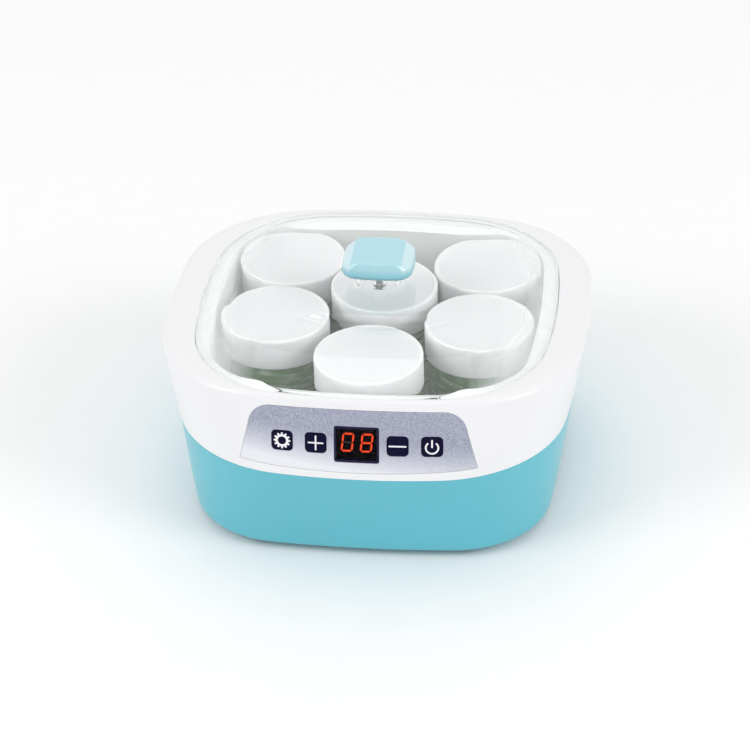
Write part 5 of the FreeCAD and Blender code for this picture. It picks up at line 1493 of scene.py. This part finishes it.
    def display(self) -> None:
        """Display block behind the lens with its lit and resting segments and points."""
        flat = rounded_rectangle(24.0, 19.0, 0.6)
        outs = ((0.97, self.module_out), (1.0, self.module_out - 0.3), (1.0, -12.0))
        rings = [PANEL.place(flat[:, 0] * s, flat[:, 1] * s, np.full(len(flat), out)) for s, out in outs]
        module = skin("display_block", np.array(rings))
        dress(module, Finish.MODULE, "base", ["display_module"])
        lit, resting = self.segments()
        dress(self.bars("lit_segments", lit), Finish.LIT, "base")
        dress(self.bars("resting_segments", resting), Finish.UNLIT, "base")

    @staticmethod
    def segments() -> tuple[Array, Array]:
        """Six-cornered bars of two slanted figures, nought and eight.

        A bar of half length h and half width w has corners (+-h, 0) and (+-(h - w), +-w); upright bars swap
        the axes, and the slant adds 0.12 of the height to x.

        Returns:
            The lit bars and the resting ones, bars by corners by coordinates.
        """
        half, width, rise = 2.85, 0.56, 5.4
        level = np.array([(half, 0), (half - width, width), (width - half, width), (-half, 0),
                          (width - half, -width), (half - width, -width)])
        tall = level[:, ::-1] * (1, (rise / 2 - 0.34) / half)
        bars = [level + (0, rise), level, level - (0, rise)]
        bars += [tall + (sx * (half + 0.36), sy * rise / 2) for sx in (-1, 1) for sy in (-1, 1)]
        figure = np.array(bars) * (0.93, 1.0)
        figure[..., 0] += 0.12 * figure[..., 1]
        left, right = figure + (-5.5, 0.5), figure + (5.7, 0.5)
        turn = np.linspace(0, 2 * math.pi, 6, endpoint=False)
        dot = 0.5 * ways(turn)
        dots = np.array([dot + (-1.4, -5.4), dot + (9.8, -5.4)])
        nought = [0, 2, 3, 4, 5, 6]
        return np.concatenate([left[nought], right]), np.concatenate([left[1:2], dots])

    def bars(self, name: str, flats: Array) -> bpy.types.Object:
        """Thin six-sided bars on the display block's face, all in one piece."""
        count = len(flats)
        top = PANEL.place(flats[..., 0], flats[..., 1], np.full(flats.shape[:2], self.module_out + 0.12))
        low = PANEL.place(flats[..., 0], flats[..., 1], np.full(flats.shape[:2], self.module_out - 0.02))
        points = np.concatenate([top, low], 1).reshape(-1, 3)
        start = np.arange(count)[:, None] * 12
        around = np.arange(6)
        after = (around + 1) % 6
        sides = np.stack([
            start + around, start + 6 + around, start + 6 + after, start + after], -1).reshape(-1, 4)
        fronts = (start + around).tolist()
        backs = (start + 6 + around[::-1]).tolist()
        return new_object(name, points, fronts + backs + sides.tolist())


class Internals:
    """Solids that stay as they are and only get their finish."""

    FINISHES: Mapping[str, Finish] = {
        "control_board": Finish.BOARD, "power_board": Finish.BOARD, "tact_switches": Finish.BLACK,
        "buzzer": Finish.BLACK, "relay": Finish.RELAY, "transformer": Finish.TAPE,
        "filter_capacitor": Finish.SLEEVE, "terminal_block": Finish.TERMINAL, "mains_inlet": Finish.BLACK,
        "inlet_pins": Finish.BRASS, "heating_plate": Finish.ALUMINIUM, "ptc_heater": Finish.ALUMINIUM,
        "heater_clamp": Finish.STEEL, "temperature_sensor": Finish.RESIN, "thermal_fuse": Finish.STEEL,
        "knob_screw": Finish.STEEL, "shell_screws": Finish.STEEL, "board_screws": Finish.STEEL,
        "power_board_screws": Finish.STEEL, "clamp_screws": Finish.STEEL, "ribbon_cable": Finish.RIBBON,
        "heater_leads": Finish.RED_LEAD, "inlet_leads": Finish.BROWN_LEAD,
    }

    def dress(self) -> None:
        """Put each finish into its solid's own material slot."""
        for node, finish in self.FINISHES.items():
            solid = frame["nodes"][node]
            if not solid.material_slots:
                solid.data.materials.append(finish.material())
            for slot in solid.material_slots:
                slot.material = finish.material()
            log.info("%s: finish %s", node, finish.value.name)


@dataclass
class Studio:
    """Pale floor, soft light and the camera at the photograph's angle."""

    azimuth: float = 8.01
    elevation: float = 32.71
    distance: float = 2061.0
    focal: float = 3514.0
    frame_width: float = 750.0
    target: tuple[float, float, float] = (6.60, -75.34, 107.0)
    roll: float = -1.85

    def build(self) -> None:
        """Floor, world, lamps and camera."""
        self.floor()
        self.world()
        self.lamp("left_light", (-2.0, -1.3, 1.7), 1.2, 20.0)
        self.lamp("right_light", (2.2, -1.0, 1.6), 1.2, 21.0)
        self.lamp("top_light", (-0.25, 0.85, 2.2), 1.2, 4.2)
        self.camera()

    def floor(self) -> None:
        """A broad pale plane just under the feet."""
        reach, level = 6000.0, -0.1
        corners = np.array([(x * reach, y * reach, level) for x, y in ((-1, -1), (1, -1), (1, 1), (-1, 1))])
        plane = new_object("studio_floor", corners, [(0, 1, 2, 3)])
        shader = Shader("studio_floor")
        grain = shader.noise(60.0, 3.0)
        tone = shader.blend(grain, (0.93, 0.93, 0.93), (0.95, 0.95, 0.95))
        plane.data.materials.append(shader.plain({"Base Color": tone, "Roughness": 0.7}))
        plane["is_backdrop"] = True

    @staticmethod
    def world() -> None:
        """Plain white to the eye, in reflections and through clear pieces, and greyer as light."""
        world = bpy.data.worlds.new("studio_world")
        bpy.context.scene.world = world
        world.use_nodes = True
        tree = world.node_tree
        tree.nodes.clear()
        back = tree.nodes.new("ShaderNodeBackground")
        path = tree.nodes.new("ShaderNodeLightPath")
        mirrored, seen = tree.nodes.new("ShaderNodeMath"), tree.nodes.new("ShaderNodeMath")
        seen.use_clamp = True
        tree.links.new(path.outputs["Is Camera Ray"], mirrored.inputs[0])
        tree.links.new(path.outputs["Is Glossy Ray"], mirrored.inputs[1])
        tree.links.new(mirrored.outputs[0], seen.inputs[0])
        tree.links.new(path.outputs["Is Transmission Ray"], seen.inputs[1])
        tone = tree.nodes.new("ShaderNodeMix")
        tone.data_type = "RGBA"
        tone.inputs[6].default_value = (LIGHT_GREY, LIGHT_GREY, LIGHT_GREY, 1.0)
        tone.inputs[7].default_value = (1.0, 1.0, 1.0, 1.0)
        tree.links.new(seen.outputs[0], tone.inputs[0])
        tree.links.new(tone.outputs[2], back.inputs["Color"])
        out = tree.nodes.new("ShaderNodeOutputWorld")
        tree.links.new(back.outputs[0], out.inputs["Surface"])

    @staticmethod
    def lamp(name: str, place: tuple[float, float, float], size: float, power: float) -> None:
        """A square soft lamp that points at the machine's middle."""
        data = bpy.data.lights.new(name, "AREA")
        data.shape = "SQUARE"
        data.size = size
        data.energy = power
        lamp = bpy.data.objects.new(name, data)
        lamp.location = place
        aim = Vector((0.0, 0.0, 0.07)) - Vector(place)
        lamp.rotation_euler = aim.to_track_quat("-Z", "Y").to_euler()
        bpy.context.scene.collection.objects.link(lamp)

    def camera(self) -> None:
        """Camera on a sphere about its target: back = (sin a cos e, -cos a cos e, sin e), then rolled."""
        a, e = math.radians(self.azimuth), math.radians(self.elevation)
        back = Vector((math.sin(a) * math.cos(e), -math.cos(a) * math.cos(e), math.sin(e)))
        right = Vector((math.cos(a), math.sin(a), 0.0))
        up = back.cross(right)
        turn = math.radians(self.roll)
        across = right * math.cos(turn) + up * math.sin(turn)
        above = up * math.cos(turn) - right * math.sin(turn)
        data = bpy.data.cameras.new("photo_camera")
        data.sensor_width = 36.0
        data.lens = self.focal * data.sensor_width / self.frame_width
        data.clip_end = 30.0
        camera = bpy.data.objects.new("photo_camera", data)
        place = (Vector(self.target) + back * self.distance) * MM
        camera.matrix_world = Matrix.Translation(place) @ Matrix((across, above, back)).transposed().to_4x4()
        bpy.context.scene.collection.objects.link(camera)
        bpy.context.scene.camera = camera


def write_sizes() -> None:
    """Gather the box of the solids and of the dressed machine."""
    boxes = {"cad": SOLID_BOX, "visual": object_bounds()}
    plain = {name: [list(corner) for corner in box] for name, box in boxes.items()}


def main() -> None:
    """Build every sub-assembly in order."""
    bpy.context.scene.view_settings.view_transform = "Standard"
    controls = Controls()
    BaseTub().build()
    Collar().build(controls)
    InnerWell().build()
    Jars().build()
    ClearLid().build()
    Knob().build()
    controls.build()
    Internals().dress()
    Studio().build()
    write_sizes()


if __name__ == "__main__":
    main()
